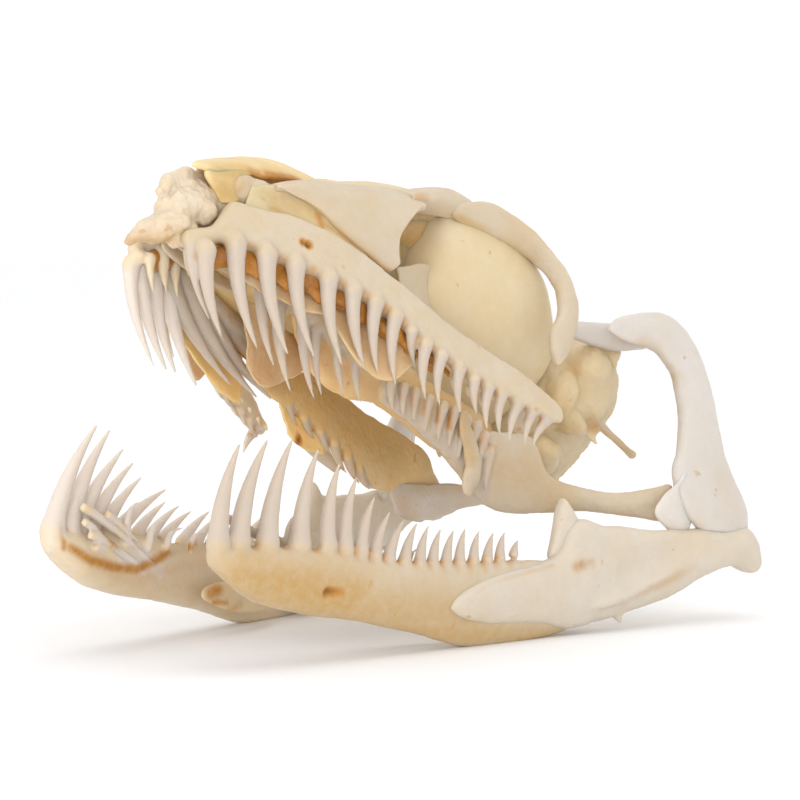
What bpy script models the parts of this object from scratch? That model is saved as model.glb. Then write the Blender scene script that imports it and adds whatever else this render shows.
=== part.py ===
"""A python skull with its lower jaws, gaping, as faceted solids: one closed body for each bone.

Lengths below are millimetres. A bone of the upper skull is set out in head measures: x to the
animal's left from the midline, y backwards along the upper tooth row, z up from that row. Lower
jaws, quadrates and pterygoids are set out in jaw measures: x left, y back, z up from the level
of the gape. Both are turned into one frame in metres that stands on the table at z = 0.
"""

import math

import bmesh
import bpy
from mathutils import Euler, Vector

MM = 0.001
HEAD_PITCH = math.radians(29.2)
HEAD_ROLL = math.radians(7.5)
SNOUT = Vector((0.0, -31.3, 15.16))
TABLE = -21.0
MIDDLE_Y = -2.75
SHEET = 0.8
THIN_SHEET = 0.6
SUTURE_GAP = 0.35
TOOTH_SIDES = 5
TOOTH_SUNK = 0.9
RIGHT_TOOTH_STRETCH = 1.12

BONE = (0.84, 0.74, 0.58, 1.0)
YELLOW_BONE = (0.82, 0.66, 0.42, 1.0)
PALE_BONE = (0.83, 0.78, 0.70, 1.0)

HEAD_TURN = Euler((-HEAD_PITCH, 0.0, 0.0)).to_matrix() @ Euler((0.0, -HEAD_ROLL, 0.0)).to_matrix()


def from_jaw(point):
    x, y, z = point
    return Vector((x, y - MIDDLE_Y, z - TABLE)) * MM


def from_head(point):
    return from_jaw(SNOUT + HEAD_TURN @ Vector(point))


def on_side(points, side):
    """The same points on the animal's left (1) or right (-1)."""
    return [Vector((side * p[0], p[1], p[2])) for p in points]


def bone_material(name, colour):
    material = bpy.data.materials.new(name)
    material.use_nodes = True
    shader = material.node_tree.nodes["Principled BSDF"]
    shader.inputs["Base Color"].default_value = colour
    shader.inputs["Roughness"].default_value = 0.55
    material.diffuse_color = colour
    return material


def solid(name, mesh, colour, collection):
    made = bpy.data.objects.new(name, mesh)
    mesh.materials.append(bone_material(name + "_bone", colour))
    collection.objects.link(made)
    return made


def skin(bm, sections):
    """Closes a body through sections that all have the same number of points."""
    count = len(sections[0])
    ring = list(bmesh.ops.create_circle(bm, segments=count, radius=1.0, cap_ends=True)["verts"])
    for vert, point in zip(ring, sections[0]):
        vert.co = point
    for points in sections[1:]:
        edges = []
        for i in range(count):
            edges.append(bm.edges.get((ring[i], ring[(i + 1) % count])))
        grown = bmesh.ops.extrude_edge_only(bm, edges=edges)["geom"]
        fresh = {item for item in grown if isinstance(item, bmesh.types.BMVert)}
        following = []
        for vert in ring:
            ends = [edge.other_vert(vert) for edge in vert.link_edges]
            following.append(next(end for end in ends if end in fresh))
        ring = following
        for vert, point in zip(ring, points):
            vert.co = point
    bmesh.ops.contextual_create(bm, geom=[bm.edges.get((ring[i], ring[i - 1])) for i in range(count)])


def finish_mesh(name, bm, place):
    for vert in bm.verts:
        vert.co = place(vert.co)
    bmesh.ops.recalc_face_normals(bm, faces=bm.faces)
    mesh = bpy.data.meshes.new(name)
    bm.to_mesh(mesh)
    bm.free()
    return mesh


def path_frames(path):
    """For each point of a path: the direction along it."""
    along = []
    for i in range(len(path)):
        before = path[max(i - 1, 0)]
        after = path[min(i + 1, len(path) - 1)]
        along.append((after - before).normalized())
    return along


def blade_sections(low, high, thick):
    """Eight-sided sections, each spanning from a low edge point to a high edge point."""
    low = [Vector(p) for p in low]
    high = [Vector(p) for p in high]
    middle = [(a + b) / 2 for a, b in zip(low, high)]
    sections = []
    for a, b, along, wide in zip(low, high, path_frames(middle), thick):
        up = b - a
        out = along.cross(up).normalized() * (wide / 2)
        sections.append([
            a,
            a + up * 0.12 + out * 0.75,
            a + up * 0.5 + out,
            a + up * 0.88 + out * 0.75,
            b,
            a + up * 0.88 - out * 0.75,
            a + up * 0.5 - out,
            a + up * 0.12 - out * 0.75,
        ])
    return sections


def bar_sections(stations, sides, lift=Vector((0.0, 0.0, 1.0))):
    """Oval sections along x, y, z, half width, half height stations."""
    path = [Vector(s[:3]) for s in stations]
    sections = []
    for centre, along, station in zip(path, path_frames(path), stations):
        across = along.cross(lift).normalized()
        up = across.cross(along).normalized()
        ring = []
        for i in range(sides):
            angle = 2 * math.pi * (i + 0.5) / sides
            offset = across * (station[3] * math.cos(angle)) + up * (station[4] * math.sin(angle))
            ring.append(centre + offset)
        sections.append(ring)
    return sections


def lofted(name, sections, place, colour, collection):
    bm = bmesh.new()
    skin(bm, sections)
    return solid(name, finish_mesh(name, bm, place), colour, collection)


def lofted_on_table(name, sections, colour, collection):
    """A lower jaw bone whose keel is worn flat where it rests on the table."""
    bm = bmesh.new()
    skin(bm, sections)
    level = Vector((0.0, 0.0, TABLE))
    everything = list(bm.verts) + list(bm.edges) + list(bm.faces)
    cut = bmesh.ops.bisect_plane(
        bm, geom=everything, plane_co=level, plane_no=(0.0, 0.0, -1.0), clear_outer=True
    )
    rim = [item for item in cut["geom_cut"] if isinstance(item, bmesh.types.BMEdge)]
    bmesh.ops.contextual_create(bm, geom=rim)
    return solid(name, finish_mesh(name, bm, from_jaw), colour, collection)


def sheet(name, rows, place, colour, collection, thickness=SHEET):
    """A bent plate through rows of points, given its thickness by Solidify."""
    across = len(rows[0])
    bm = bmesh.new()
    made = bmesh.ops.create_grid(bm, x_segments=across - 1, y_segments=len(rows) - 1, size=1.0)
    points = [point for row in rows for point in row]
    for vert, point in zip(made["verts"], points):
        vert.co = point
    plate = solid(name, finish_mesh(name, bm, place), colour, collection)
    thicken = plate.modifiers.new("bone thickness", "SOLIDIFY")
    thicken.thickness = thickness * MM
    thicken.offset = 0.0
    thicken.use_rim = True
    return plate


def tooth_sections(root, tip, girth, bend, sides):
    """Rings of one recurved tooth: it leaves the jaw straight and sweeps back to its tip."""
    root = Vector(root)
    tip = Vector(tip)
    bend = Vector(bend)
    run = tip - root
    sunk = run.normalized() * TOOTH_SUNK - bend * 0.3
    marks = ((0.0, 1.0), (0.5, 0.62), (1.0, 0.07))
    path = [root - sunk]
    widths = [girth]
    for share, width in marks:
        path.append(root + run * share + bend * (4 * share * (1 - share)))
        widths.append(girth * width)
    rings = []
    for centre, along, width in zip(path, path_frames(path), widths):
        across = along.cross(Vector((0.0, 1.0, 0.3))).normalized()
        back = across.cross(along).normalized()
        ring = []
        for i in range(sides):
            angle = 2 * math.pi * i / sides
            ring.append(centre + (across * math.cos(angle) + back * math.sin(angle)) * width)
        rings.append(ring)
    return rings


def grow_teeth(bone, name, teeth, place, helpers, sides=TOOTH_SIDES):
    """Joins a row of teeth to their bone with one Boolean."""
    bm = bmesh.new()
    for root, tip, girth, bend in teeth:
        skin(bm, tooth_sections(root, tip, girth, bend, sides))
    row = bpy.data.objects.new(name, finish_mesh(name, bm, place))
    helpers.objects.link(row)
    row.hide_render = True
    row.display_type = "WIRE"
    union = bone.modifiers.new("teeth", "BOOLEAN")
    union.operation = "UNION"
    union.solver = "EXACT"
    union.use_self = True
    union.object = row


def join_solid(bone, other, operation="UNION"):
    other.hide_render = True
    other.display_type = "WIRE"
    step = bone.modifiers.new(other.name, "BOOLEAN")
    step.operation = operation
    step.solver = "EXACT"
    step.object = other


# Upper tooth row, front to back: x, y, z of the root, length, angle swept back in degrees.
UPPER_TEETH = (
    (3.7, -0.2, 0.4, 9.7, 44), (4.6, 1.6, 0.8, 9.3, 32), (5.6, 3.5, 0.9, 9.3, 38),
    (6.7, 5.7, 1.0, 8.4, 42), (7.9, 8.1, 1.1, 8.4, 44), (9.3, 11.2, 1.1, 7.6, 42),
    (10.2, 13.2, 1.1, 7.3, 41), (11.2, 15.6, 1.0, 6.6, 33), (12.0, 17.6, 0.6, 6.0, 28),
    (12.8, 19.5, 0.0, 5.2, 26), (13.5, 21.3, -0.5, 4.4, 26), (14.1, 22.9, -0.8, 3.7, 32),
    (14.8, 25.0, -1.2, 3.0, 32), (15.3, 26.6, -1.3, 3.0, 30), (15.9, 28.4, -1.2, 3.4, 22),
    (16.3, 29.9, -1.2, 3.3, 22), (16.8, 31.9, -1.2, 3.3, 4), (17.2, 33.7, -1.1, 3.0, 0),
    (17.6, 35.4, -1.0, 3.0, -16),
)

# Lower tooth rows in jaw measures, front to back: distance from the midline, y, z, length, lean.
LOWER_TEETH = {
    1: (
        (9.9, -35.0, -10.2, 8.5, 20), (10.2, -32.9, -10.3, 9.1, 25), (10.7, -29.9, -10.5, 9.0, 22),
        (11.3, -26.5, -10.7, 8.1, 19), (11.8, -23.6, -11.0, 7.0, 16), (12.1, -21.7, -11.3, 6.1, 18),
        (12.4, -20.0, -11.8, 5.1, 26), (12.6, -18.4, -12.2, 4.3, 34), (12.8, -16.8, -12.6, 4.1, 38),
        (13.1, -15.0, -12.9, 3.7, 33), (13.4, -13.3, -13.2, 3.5, 26), (13.6, -11.8, -13.3, 3.2, 27),
        (13.8, -10.2, -13.4, 3.1, 27), (14.0, -8.6, -13.4, 3.1, 23), (14.3, -7.0, -13.4, 2.8, 24),
        (14.5, -5.3, -13.3, 2.5, 30), (14.7, -3.8, -13.3, 2.4, 27), (15.0, -2.2, -13.2, 1.6, 40),
    ),
    -1: (
        (9.9, -34.7, -10.2, 10.0, 30), (10.3, -32.4, -10.5, 9.6, 29), (10.6, -31.0, -10.5, 8.5, 38),
        (10.9, -29.2, -10.6, 7.4, 42), (11.2, -27.4, -10.8, 6.3, 46), (11.6, -25.2, -11.1, 6.7, 60),
        (12.0, -22.3, -11.5, 4.3, 52), (12.4, -20.4, -12.1, 4.5, 53), (12.7, -18.4, -12.4, 4.3, 56),
        (13.0, -15.4, -12.8, 4.2, 52), (13.3, -13.2, -13.1, 3.4, 48), (13.6, -11.0, -13.3, 3.2, 45),
        (13.9, -8.8, -13.4, 3.0, 42), (14.2, -6.8, -13.4, 2.8, 40), (14.5, -4.8, -13.3, 2.5, 40),
        (14.8, -2.8, -13.2, 2.0, 40),
    ),
}

# Outer face of the upper jaw bone: x, low z, high z, thickness at each y.
UPPER_JAW = (
    (-1.0, 3.5, -0.2, 1.3, 1.4), (1.0, 4.5, 0.3, 2.7, 2.0), (3.0, 5.6, 0.6, 4.3, 2.4),
    (5.2, 6.9, 0.8, 4.1, 2.6), (8.0, 8.3, 0.8, 4.6, 2.8), (11.0, 9.7, 0.9, 4.7, 3.0),
    (14.2, 11.1, 0.8, 3.9, 2.9), (17.0, 12.2, 0.5, 3.4, 2.7), (20.0, 13.4, -0.2, 1.9, 2.4),
    (23.5, 14.7, -1.1, 1.1, 2.3), (27.5, 16.0, -1.4, 0.9, 2.1), (31.5, 17.2, -1.3, 0.6, 1.9),
    (34.5, 17.9, -1.3, 0.4, 1.7), (36.8, 18.3, -1.2, 0.1, 1.0),
)


def settled(point, side):
    """The right upper jaw bone has dropped in front and closed in behind, as in the photograph."""
    if side > 0:
        return Vector(point)
    share = point[1] / 36.0
    return Vector((point[0] - 0.3 + 1.4 * share, point[1], point[2] - 0.9 + 1.6 * share))


def upper_jaw_bone(name, side, bones, helpers):
    low = []
    high = []
    for y, x, low_z, high_z, thick in UPPER_JAW:
        low.append(settled((side * (x - 0.1 - thick / 2), y, low_z), side))
        high.append(settled((side * (x - 0.7 - thick / 2), y, high_z), side))
    wide = [row[4] for row in UPPER_JAW]
    bone = lofted(name, blade_sections(low, high, wide), from_head, BONE, bones)
    shelf = ((10.2, 16.0, 1.6, 2.2, 0.7), (8.6, 18.2, 1.9, 1.9, 0.6), (7.4, 19.8, 2.2, 1.2, 0.5))
    stations = []
    for x, y, z, half_width, half_height in shelf:
        stations.append((*settled((side * x, y, z), side), half_width, half_height))
    process = lofted(name + "_process", bar_sections(stations, 6), from_head, BONE, helpers)
    join_solid(bone, process)
    teeth = []
    for x, y, z, length, lean in UPPER_TEETH:
        root = settled((side * (x - 0.6), y, z), side)
        if side < 0 and length > 7.0:
            length *= RIGHT_TOOTH_STRETCH
        swept = math.radians(lean)
        reach = Vector((-side * 0.4, math.sin(swept) * length, -math.cos(swept) * length))
        bend = Vector((0.0, -0.09 * length, -0.03 * length))
        teeth.append((root, root + reach, 0.28 + 0.045 * length, bend))
    grow_teeth(bone, name + "_teeth", teeth, from_head, helpers)
    return bone


# Lower jaw edges in jaw measures: y, then x and z of the lower edge, then x and z of the upper.
TOOTH_BONE_EDGES = (
    (-36.0, 9.6, -12.0, 9.6, -10.6, 0.9), (-35.0, 9.5, -13.0, 9.9, -10.3, 2.4),
    (-33.2, 9.5, -14.1, 10.2, -10.4, 3.0), (-31.0, 9.7, -15.1, 10.5, -10.6, 3.2),
    (-28.0, 10.2, -16.1, 11.0, -10.8, 3.3), (-24.5, 10.8, -16.9, 11.5, -11.2, 3.3),
    (-21.0, 11.5, -17.5, 12.0, -11.8, 3.2), (-18.0, 12.0, -18.2, 12.6, -12.6, 3.0),
    (-14.5, 12.4, -19.0, 13.1, -13.0, 2.8), (-11.0, 12.8, -20.0, 13.6, -13.3, 2.6),
    (-8.0, 13.2, -20.9, 14.0, -13.5, 2.5), (-5.0, 13.6, -21.4, 14.5, -13.6, 2.4),
    (-1.5, 14.1, -21.4, 15.0, -13.7, 2.2), (1.2, 14.6, -21.4, 15.3, -13.9, 1.5),
)

COMPOUND_EDGES = (
    (-9.8, 14.0, -16.9, 14.1, -16.1, 0.8), (-7.5, 14.2, -17.7, 14.3, -15.2, 1.7),
    (-4.0, 14.5, -18.5, 14.8, -14.6, 2.3), (-1.0, 14.8, -19.2, 15.2, -14.2, 2.7),
    (2.0, 15.0, -19.5, 15.5, -13.6, 2.9), (5.2, 15.3, -21.4, 16.0, -9.9, 3.0),
    (8.6, 15.8, -21.4, 16.4, -10.7, 3.0), (11.8, 16.6, -20.6, 17.0, -11.5, 3.0),
    (15.0, 17.2, -19.8, 17.6, -11.8, 3.0), (18.0, 17.8, -18.8, 18.1, -11.6, 3.1),
    (21.0, 18.3, -17.0, 18.7, -11.8, 3.5), (24.0, 18.7, -16.5, 19.1, -12.2, 4.0),
    (26.8, 19.0, -16.4, 19.3, -12.1, 4.2), (28.5, 19.1, -17.1, 19.4, -12.9, 3.6),
    (29.7, 19.3, -16.9, 19.4, -14.4, 2.6), (30.5, 19.3, -16.3, 19.4, -15.4, 1.4),
)


def jaw_edges(table, side):
    low = on_side([(row[1], row[0], row[2]) for row in table], side)
    high = on_side([(row[3], row[0], row[4]) for row in table], side)
    return low, high, [row[5] for row in table]


def tooth_bearing_bone(name, side, bones, helpers):
    low, high, thick = jaw_edges(TOOTH_BONE_EDGES, side)
    bone = lofted_on_table(name, blade_sections(low, high, thick), BONE, bones)
    low, high, thick = jaw_edges(COMPOUND_EDGES[:6], side)
    gap = Vector((0.0, 0.0, SUTURE_GAP))
    ahead = Vector((0.0, -SUTURE_GAP, 0.0))
    notch_low = [p - gap + ahead for p in low]
    notch_high = [p + gap + ahead for p in high]
    notch_low[-1].z = notch_low[-2].z
    notch_high[-1].z = notch_high[-2].z
    wedge = blade_sections(notch_low, notch_high, [8.0] * len(thick))
    join_solid(bone, lofted(name + "_notch", wedge, from_jaw, BONE, helpers), "DIFFERENCE")
    teeth = []
    for x, y, z, length, lean in LOWER_TEETH[side]:
        root = Vector((side * x, y, z))
        swept = math.radians(lean)
        reach = Vector((-side * 0.3, math.sin(swept) * length, math.cos(swept) * length))
        bend = Vector((0.0, -0.07 * length, 0.02 * length))
        teeth.append((root, root + reach, 0.28 + 0.045 * length, bend))
    grow_teeth(bone, name + "_teeth", teeth, from_jaw, helpers)
    return bone


def compound_bone(name, side, bones, helpers):
    low, high, thick = jaw_edges(COMPOUND_EDGES, side)
    return lofted_on_table(name, blade_sections(low, high, thick), BONE, bones)


def coronoid_bone(name, side, bones):
    low = on_side([(13.1, 3.2, -14.6), (13.4, 5.2, -14.4), (13.7, 7.6, -14.0)], side)
    high = on_side([(13.5, 4.6, -11.4), (13.8, 6.3, -8.7), (14.0, 7.6, -10.2)], side)
    return lofted(name, blade_sections(low, high, [0.6, 0.9, 0.6]), from_jaw, BONE, bones)


def inner_jaw_plates(side, tag, bones):
    """The splenial and the angular, which line the inner face of the lower jaw."""
    low = [(10.8, -14.0, -17.6), (11.1, -11.0, -18.6), (11.5, -7.0, -19.4), (12.1, -2.6, -19.6)]
    high = [(10.8, -13.6, -16.9), (11.2, -11.0, -15.6), (11.6, -7.0, -14.8), (12.2, -2.8, -15.0)]
    sections = blade_sections(on_side(low, side), on_side(high, side), [0.5, 0.7, 0.8, 0.5])
    lofted("splenial_" + tag, sections, from_jaw, YELLOW_BONE, bones)
    low = [(12.5, -1.9, -19.8), (12.8, 1.5, -20.4), (13.2, 5.5, -20.4), (14.0, 9.5, -19.9)]
    high = [(12.6, -1.9, -15.4), (12.8, 1.5, -15.9), (13.2, 5.5, -17.2), (14.0, 9.5, -19.0)]
    sections = blade_sections(on_side(low, side), on_side(high, side), [0.5, 0.8, 0.7, 0.4])
    lofted("angular_" + tag, sections, from_jaw, YELLOW_BONE, bones)


def premaxilla(bones, helpers):
    bar = (
        (-3.2, -2.2, -0.2, 0.5, 0.7), (-2.3, -2.3, -0.1, 0.9, 1.0), (-0.9, -2.5, -0.1, 1.0, 1.2),
        (0.9, -2.5, 0.0, 1.0, 1.2), (2.3, -2.2, 0.1, 0.9, 1.0), (2.9, -2.2, 0.3, 0.5, 0.7),
    )
    bone = lofted("premaxilla", bar_sections(bar, 8), from_head, BONE, bones)
    ascending = (
        (0.0, -1.9, 0.0, 1.9, 1.3), (0.0, -0.9, 2.6, 1.5, 1.1), (0.0, -0.2, 5.0, 1.1, 0.8),
        (0.0, 1.4, 7.0, 0.8, 0.6), (0.0, 4.0, 8.6, 0.5, 0.4),
    )
    rise = bar_sections(ascending, 6, Vector((0.0, -1.0, 0.2)))
    join_solid(bone, lofted("premaxilla_rise", rise, from_head, BONE, helpers))
    return bone


def snout_bones(side, tag, bones):
    ridge = [(0.5, 0.4, 7.9), (0.5, 3.0, 9.9), (0.5, 6.0, 11.6), (0.5, 9.5, 12.6), (0.5, 12.4, 13.0)]
    brow = [(2.2, -0.5, 6.6), (3.4, 2.0, 8.5), (4.0, 4.9, 10.1), (4.4, 8.0, 11.2), (4.5, 10.6, 11.7)]
    wing = [(2.7, -0.2, 6.2), (4.2, 1.2, 4.9), (5.0, 3.6, 5.1), (5.2, 5.8, 6.1), (4.9, 7.0, 8.2)]
    rows = [on_side(row, side) for row in (ridge, brow, wing)]
    sheet("nasal_" + tag, rows, from_head, BONE, bones, THIN_SHEET)
    lump = (
        (1.8, 1.0, 3.6, 0.7, 1.2), (1.8, 2.8, 4.5, 0.9, 1.4), (2.1, 5.0, 5.0, 1.0, 1.3),
        (2.3, 7.2, 5.2, 0.7, 0.8),
    )
    stations = [(side * x, y, z, w, h) for x, y, z, w, h in lump]
    lofted("septomaxilla_" + tag, bar_sections(stations, 7), from_head, PALE_BONE, bones)
    low = on_side([(0.7, 1.0, -0.6), (1.2, 4.0, -0.4), (1.6, 8.0, 0.2), (1.3, 12.0, 0.9)], side)
    high = on_side([(0.9, 1.0, 0.9), (1.6, 4.0, 1.9), (2.4, 8.0, 2.5), (1.9, 12.0, 1.9)], side)
    lofted("vomer_" + tag, blade_sections(low, high, [0.5, 0.8, 0.8, 0.4]), from_head, BONE, bones)


def orbit_bones(side, tag, bones):
    top = [(5.2, 9.2, 10.0), (5.7, 12.2, 11.3), (6.7, 15.2, 12.4), (7.6, 18.4, 13.1), (8.4, 22.6, 14.4)]
    middle = [(5.6, 8.6, 8.5), (6.7, 11.2, 8.9), (7.8, 14.4, 9.2), (8.6, 17.4, 9.4), (9.2, 19.6, 9.0)]
    foot = [(5.9, 8.2, 7.3), (7.0, 10.6, 6.9), (8.2, 14.0, 6.0), (9.2, 17.8, 5.2), (9.6, 22.6, 4.9)]
    rows = [on_side(row, side) for row in (top, middle, foot)]
    sheet("prefrontal_" + tag, rows, from_head, BONE, bones)
    stations = (
        (2.6, 13.2, 11.4, 2.1, 1.2), (2.8, 16.5, 12.6, 2.3, 2.2), (2.8, 20.0, 14.0, 2.4, 3.2),
        (2.9, 24.0, 14.9, 2.6, 3.4), (3.1, 26.4, 15.2, 2.8, 3.2),
    )
    stations = [(side * x, y, z, w, h) for x, y, z, w, h in stations]
    lofted("frontal_" + tag, bar_sections(stations, 8), from_head, YELLOW_BONE, bones)
    inner = [(6.0, 18.6, 14.8), (6.0, 21.2, 16.4), (6.2, 23.8, 17.6), (6.6, 26.4, 18.2)]
    crest = [(8.0, 18.8, 14.4), (8.3, 21.4, 15.8), (8.4, 23.8, 17.0), (8.8, 26.2, 17.6)]
    rim = [(8.8, 19.8, 14.6), (9.2, 21.8, 14.9), (9.6, 23.8, 15.2), (9.8, 25.6, 16.0)]
    rows = [on_side(row, side) for row in (inner, crest, rim)]
    sheet("supraorbital_" + tag, rows, from_head, BONE, bones, THIN_SHEET)
    arch_in = [
        (10.6, 25.6, 15.0), (11.0, 27.8, 14.8), (11.6, 31.2, 15.0), (12.3, 34.8, 15.0), (13.2, 37.2, 13.5),
        (13.8, 38.0, 10.9), (14.1, 37.8, 8.6), (14.4, 38.2, 6.6),
    ]
    arch_out = [
        (10.5, 26.6, 17.2), (11.0, 28.4, 18.1), (11.6, 31.4, 18.6), (12.4, 34.8, 17.8), (13.4, 38.0, 15.8),
        (14.0, 39.9, 13.0), (14.2, 40.1, 10.2), (14.4, 39.3, 7.2),
    ]
    thick = [0.9, 1.2, 1.4, 1.4, 1.4, 1.4, 1.2, 0.8]
    sections = blade_sections(on_side(arch_in, side), on_side(arch_out, side), thick)
    lofted("postorbital_" + tag, sections, from_head, BONE, bones)


def vault_section(y, roof, width, side_top, side_low, floor, keel):
    """A twelve-point outline across the braincase, from the roof round to the keel and back."""
    half = [
        (0.0, roof), (0.55 * width, roof - 0.5), (0.9 * width, side_top), (width, (side_top + side_low) / 2),
        (0.86 * width, side_low), (0.4 * width, floor),
    ]
    left = [(x, y, z) for x, z in half]
    right = [(-x, y, z) for x, z in reversed(half[1:])]
    return left + [(0.0, y, keel)] + right


def vault_bones(bones, helpers):
    front = [
        vault_section(27.3, 18.6, 7.6, 15.6, 9.0, 6.6, 6.0),
        vault_section(29.2, 19.4, 9.2, 16.2, 7.6, 3.6, 2.6),
        vault_section(33.0, 19.7, 9.8, 16.8, 6.8, 3.0, 2.2),
        vault_section(37.5, 19.4, 10.1, 17.0, 6.8, 3.0, 2.2),
        vault_section(41.8, 18.9, 9.8, 16.2, 7.2, 3.2, 2.2),
        vault_section(45.4, 18.3, 8.2, 14.4, 7.6, 3.6, 2.6),
    ]
    lofted("parietal", front, from_head, YELLOW_BONE, bones)
    rear = [
        vault_section(45.8, 18.0, 7.8, 13.8, 7.6, 4.2, 3.6),
        vault_section(48.6, 17.8, 9.8, 13.8, 7.4, 3.4, 2.6),
        vault_section(52.2, 17.4, 10.7, 14.4, 8.0, 3.4, 2.6),
        vault_section(55.0, 16.6, 9.9, 14.2, 9.0, 4.0, 3.0),
        vault_section(57.0, 15.2, 7.8, 13.2, 9.4, 4.6, 3.8),
        vault_section(58.7, 12.6, 4.2, 10.8, 8.8, 5.2, 4.6),
    ]
    hind = lofted("hind_braincase", rear, from_head, YELLOW_BONE, bones)
    knob = ((0.0, 56.5, 6.2, 1.8, 1.5), (0.0, 59.2, 6.0, 1.6, 1.3), (0.0, 60.2, 6.0, 0.9, 0.8))
    join_solid(hind, lofted("condyle", bar_sections(knob, 8), from_head, YELLOW_BONE, helpers))
    keel = (
        (0.0, 20.5, 4.4, 0.5, 0.5), (0.0, 25.0, 2.6, 0.8, 0.7), (0.0, 30.0, 1.3, 1.3, 0.6),
        (0.0, 36.0, 1.1, 2.2, 0.7), (0.0, 42.0, 1.2, 2.6, 0.7), (0.0, 46.0, 1.6, 2.4, 0.6),
    )
    lofted("basisphenoid", bar_sections(keel, 8), from_head, YELLOW_BONE, bones)


def hind_bones(side, tag, bones):
    stations = (
        (9.9, 43.6, 13.0, 0.5, 0.9), (10.4, 45.2, 13.5, 0.6, 1.3), (11.2, 47.2, 14.2, 0.7, 1.4),
        (11.9, 49.0, 14.9, 0.7, 1.3), (12.4, 50.4, 15.4, 0.5, 0.9),
    )
    stations = [(side * x, y, z, w, h) for x, y, z, w, h in stations]
    lofted("supratemporal_" + tag, bar_sections(stations, 8), from_head, PALE_BONE, bones)
    stations = (
        (9.5, 53.4, 8.0, 0.5, 0.5), (9.5, 54.6, 7.9, 0.45, 0.45), (9.5, 56.4, 7.8, 0.35, 0.35),
        (9.5, 58.4, 7.7, 0.35, 0.35), (9.5, 59.4, 7.7, 0.5, 0.5),
    )
    stations = [(side * x, y, z, w, h) for x, y, z, w, h in stations]
    lofted("stapes_" + tag, bar_sections(stations, 6), from_head, BONE, bones)


# Near and far quadrate edges differ, as the head is rolled over level lower jaws.
QUADRATE_FRONT = (
    (12.2, 17.6, 7.2), (12.4, 18.4, 5.2), (13.2, 21.8, 4.2), (14.2, 22.9, 2.2), (15.2, 22.5, -0.2),
    (16.4, 21.3, -2.6), (17.2, 19.1, -5.0), (17.9, 17.9, -8.0), (18.8, 20.6, -11.3),
)
QUADRATE_BACK = (
    (12.3, 20.4, 8.4), (12.9, 23.6, 7.6), (13.8, 25.8, 5.9), (15.0, 26.5, 3.4), (16.2, 26.5, 0.4),
    (17.4, 26.0, -2.8), (18.3, 25.7, -5.6), (19.2, 27.1, -8.8), (19.5, 27.4, -11.6),
)
QUADRATE_THICK = (0.9, 1.5, 1.9, 1.9, 1.9, 1.9, 1.9, 2.0, 2.0)


def quadrate_bone(name, side, bones):
    front = [Vector(p) for p in QUADRATE_FRONT]
    back = [Vector(p) for p in QUADRATE_BACK]
    if side < 0:
        for p in front + back:
            share = (p.z + 11.6) / 20.0
            p.x += 4.4 * share
            p.y -= 1.8 * share
            p.z -= 3.4 * share
    sections = blade_sections(on_side(front, side), on_side(back, side), QUADRATE_THICK)
    return lofted(name, sections, from_jaw, PALE_BONE, bones)


# Upper and lower edges of the pterygoid, x y z in jaw measures, for the left and the right.
PTERYGOID_TOP = {
    1: ((5.0, -9.6, 1.6), (6.2, -4.5, -0.6), (7.2, 0.0, -2.4), (8.2, 4.0, -2.6), (9.4, 8.2, -3.2),
        (10.0, 10.4, -7.6), (11.2, 13.4, -8.3), (13.0, 16.0, -8.7), (15.6, 18.0, -8.7)),
    -1: ((6.0, -9.6, 1.6), (7.0, -4.5, 1.2), (7.6, 0.0, 0.4), (8.2, 5.0, -1.2), (8.6, 9.6, -2.9),
         (9.2, 13.4, -5.4), (10.4, 16.4, -8.0), (13.0, 19.5, -9.6), (16.0, 21.5, -10.4)),
}
PTERYGOID_LOW = {
    1: ((5.0, -9.6, 0.4), (6.0, -4.5, -3.0), (7.0, 0.0, -7.6), (7.9, 4.0, -9.4), (8.9, 8.2, -10.3),
        (9.8, 10.8, -10.4), (11.4, 13.8, -10.6), (13.4, 16.4, -10.9), (16.0, 18.6, -11.3)),
    -1: ((6.0, -9.6, 0.2), (6.8, -4.5, -1.6), (7.4, 0.0, -4.4), (8.0, 5.0, -7.0), (8.6, 9.6, -8.8),
         (9.4, 13.4, -10.1), (11.0, 17.0, -11.2), (13.6, 20.2, -12.2), (16.2, 22.0, -12.8)),
}
PALATINE_STATIONS = (
    (4.4, 9.0, 0.9, 0.7, 0.5), (4.7, 12.5, 0.7, 1.1, 0.8), (5.1, 17.0, 0.5, 1.2, 0.9),
    (5.4, 21.0, 0.2, 1.1, 0.8), (5.6, 24.4, -0.2, 0.7, 0.6),
)

# The right one has come away from its upper jaw bone.
ECTOPTERYGOID = {
    1: ((14.2, 32.6, -0.3, 0.6, 0.45), (13.9, 34.9, -0.8, 0.9, 0.6), (12.7, 37.2, -1.8, 1.0, 0.6),
        (11.4, 38.8, -2.6, 0.7, 0.5)),
    -1: ((12.6, 37.4, 0.4, 0.6, 0.5), (11.9, 38.6, -0.2, 1.0, 0.6), (11.0, 39.8, -0.8, 0.9, 0.6),
         (10.2, 40.8, -1.4, 0.6, 0.5)),
}


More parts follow.
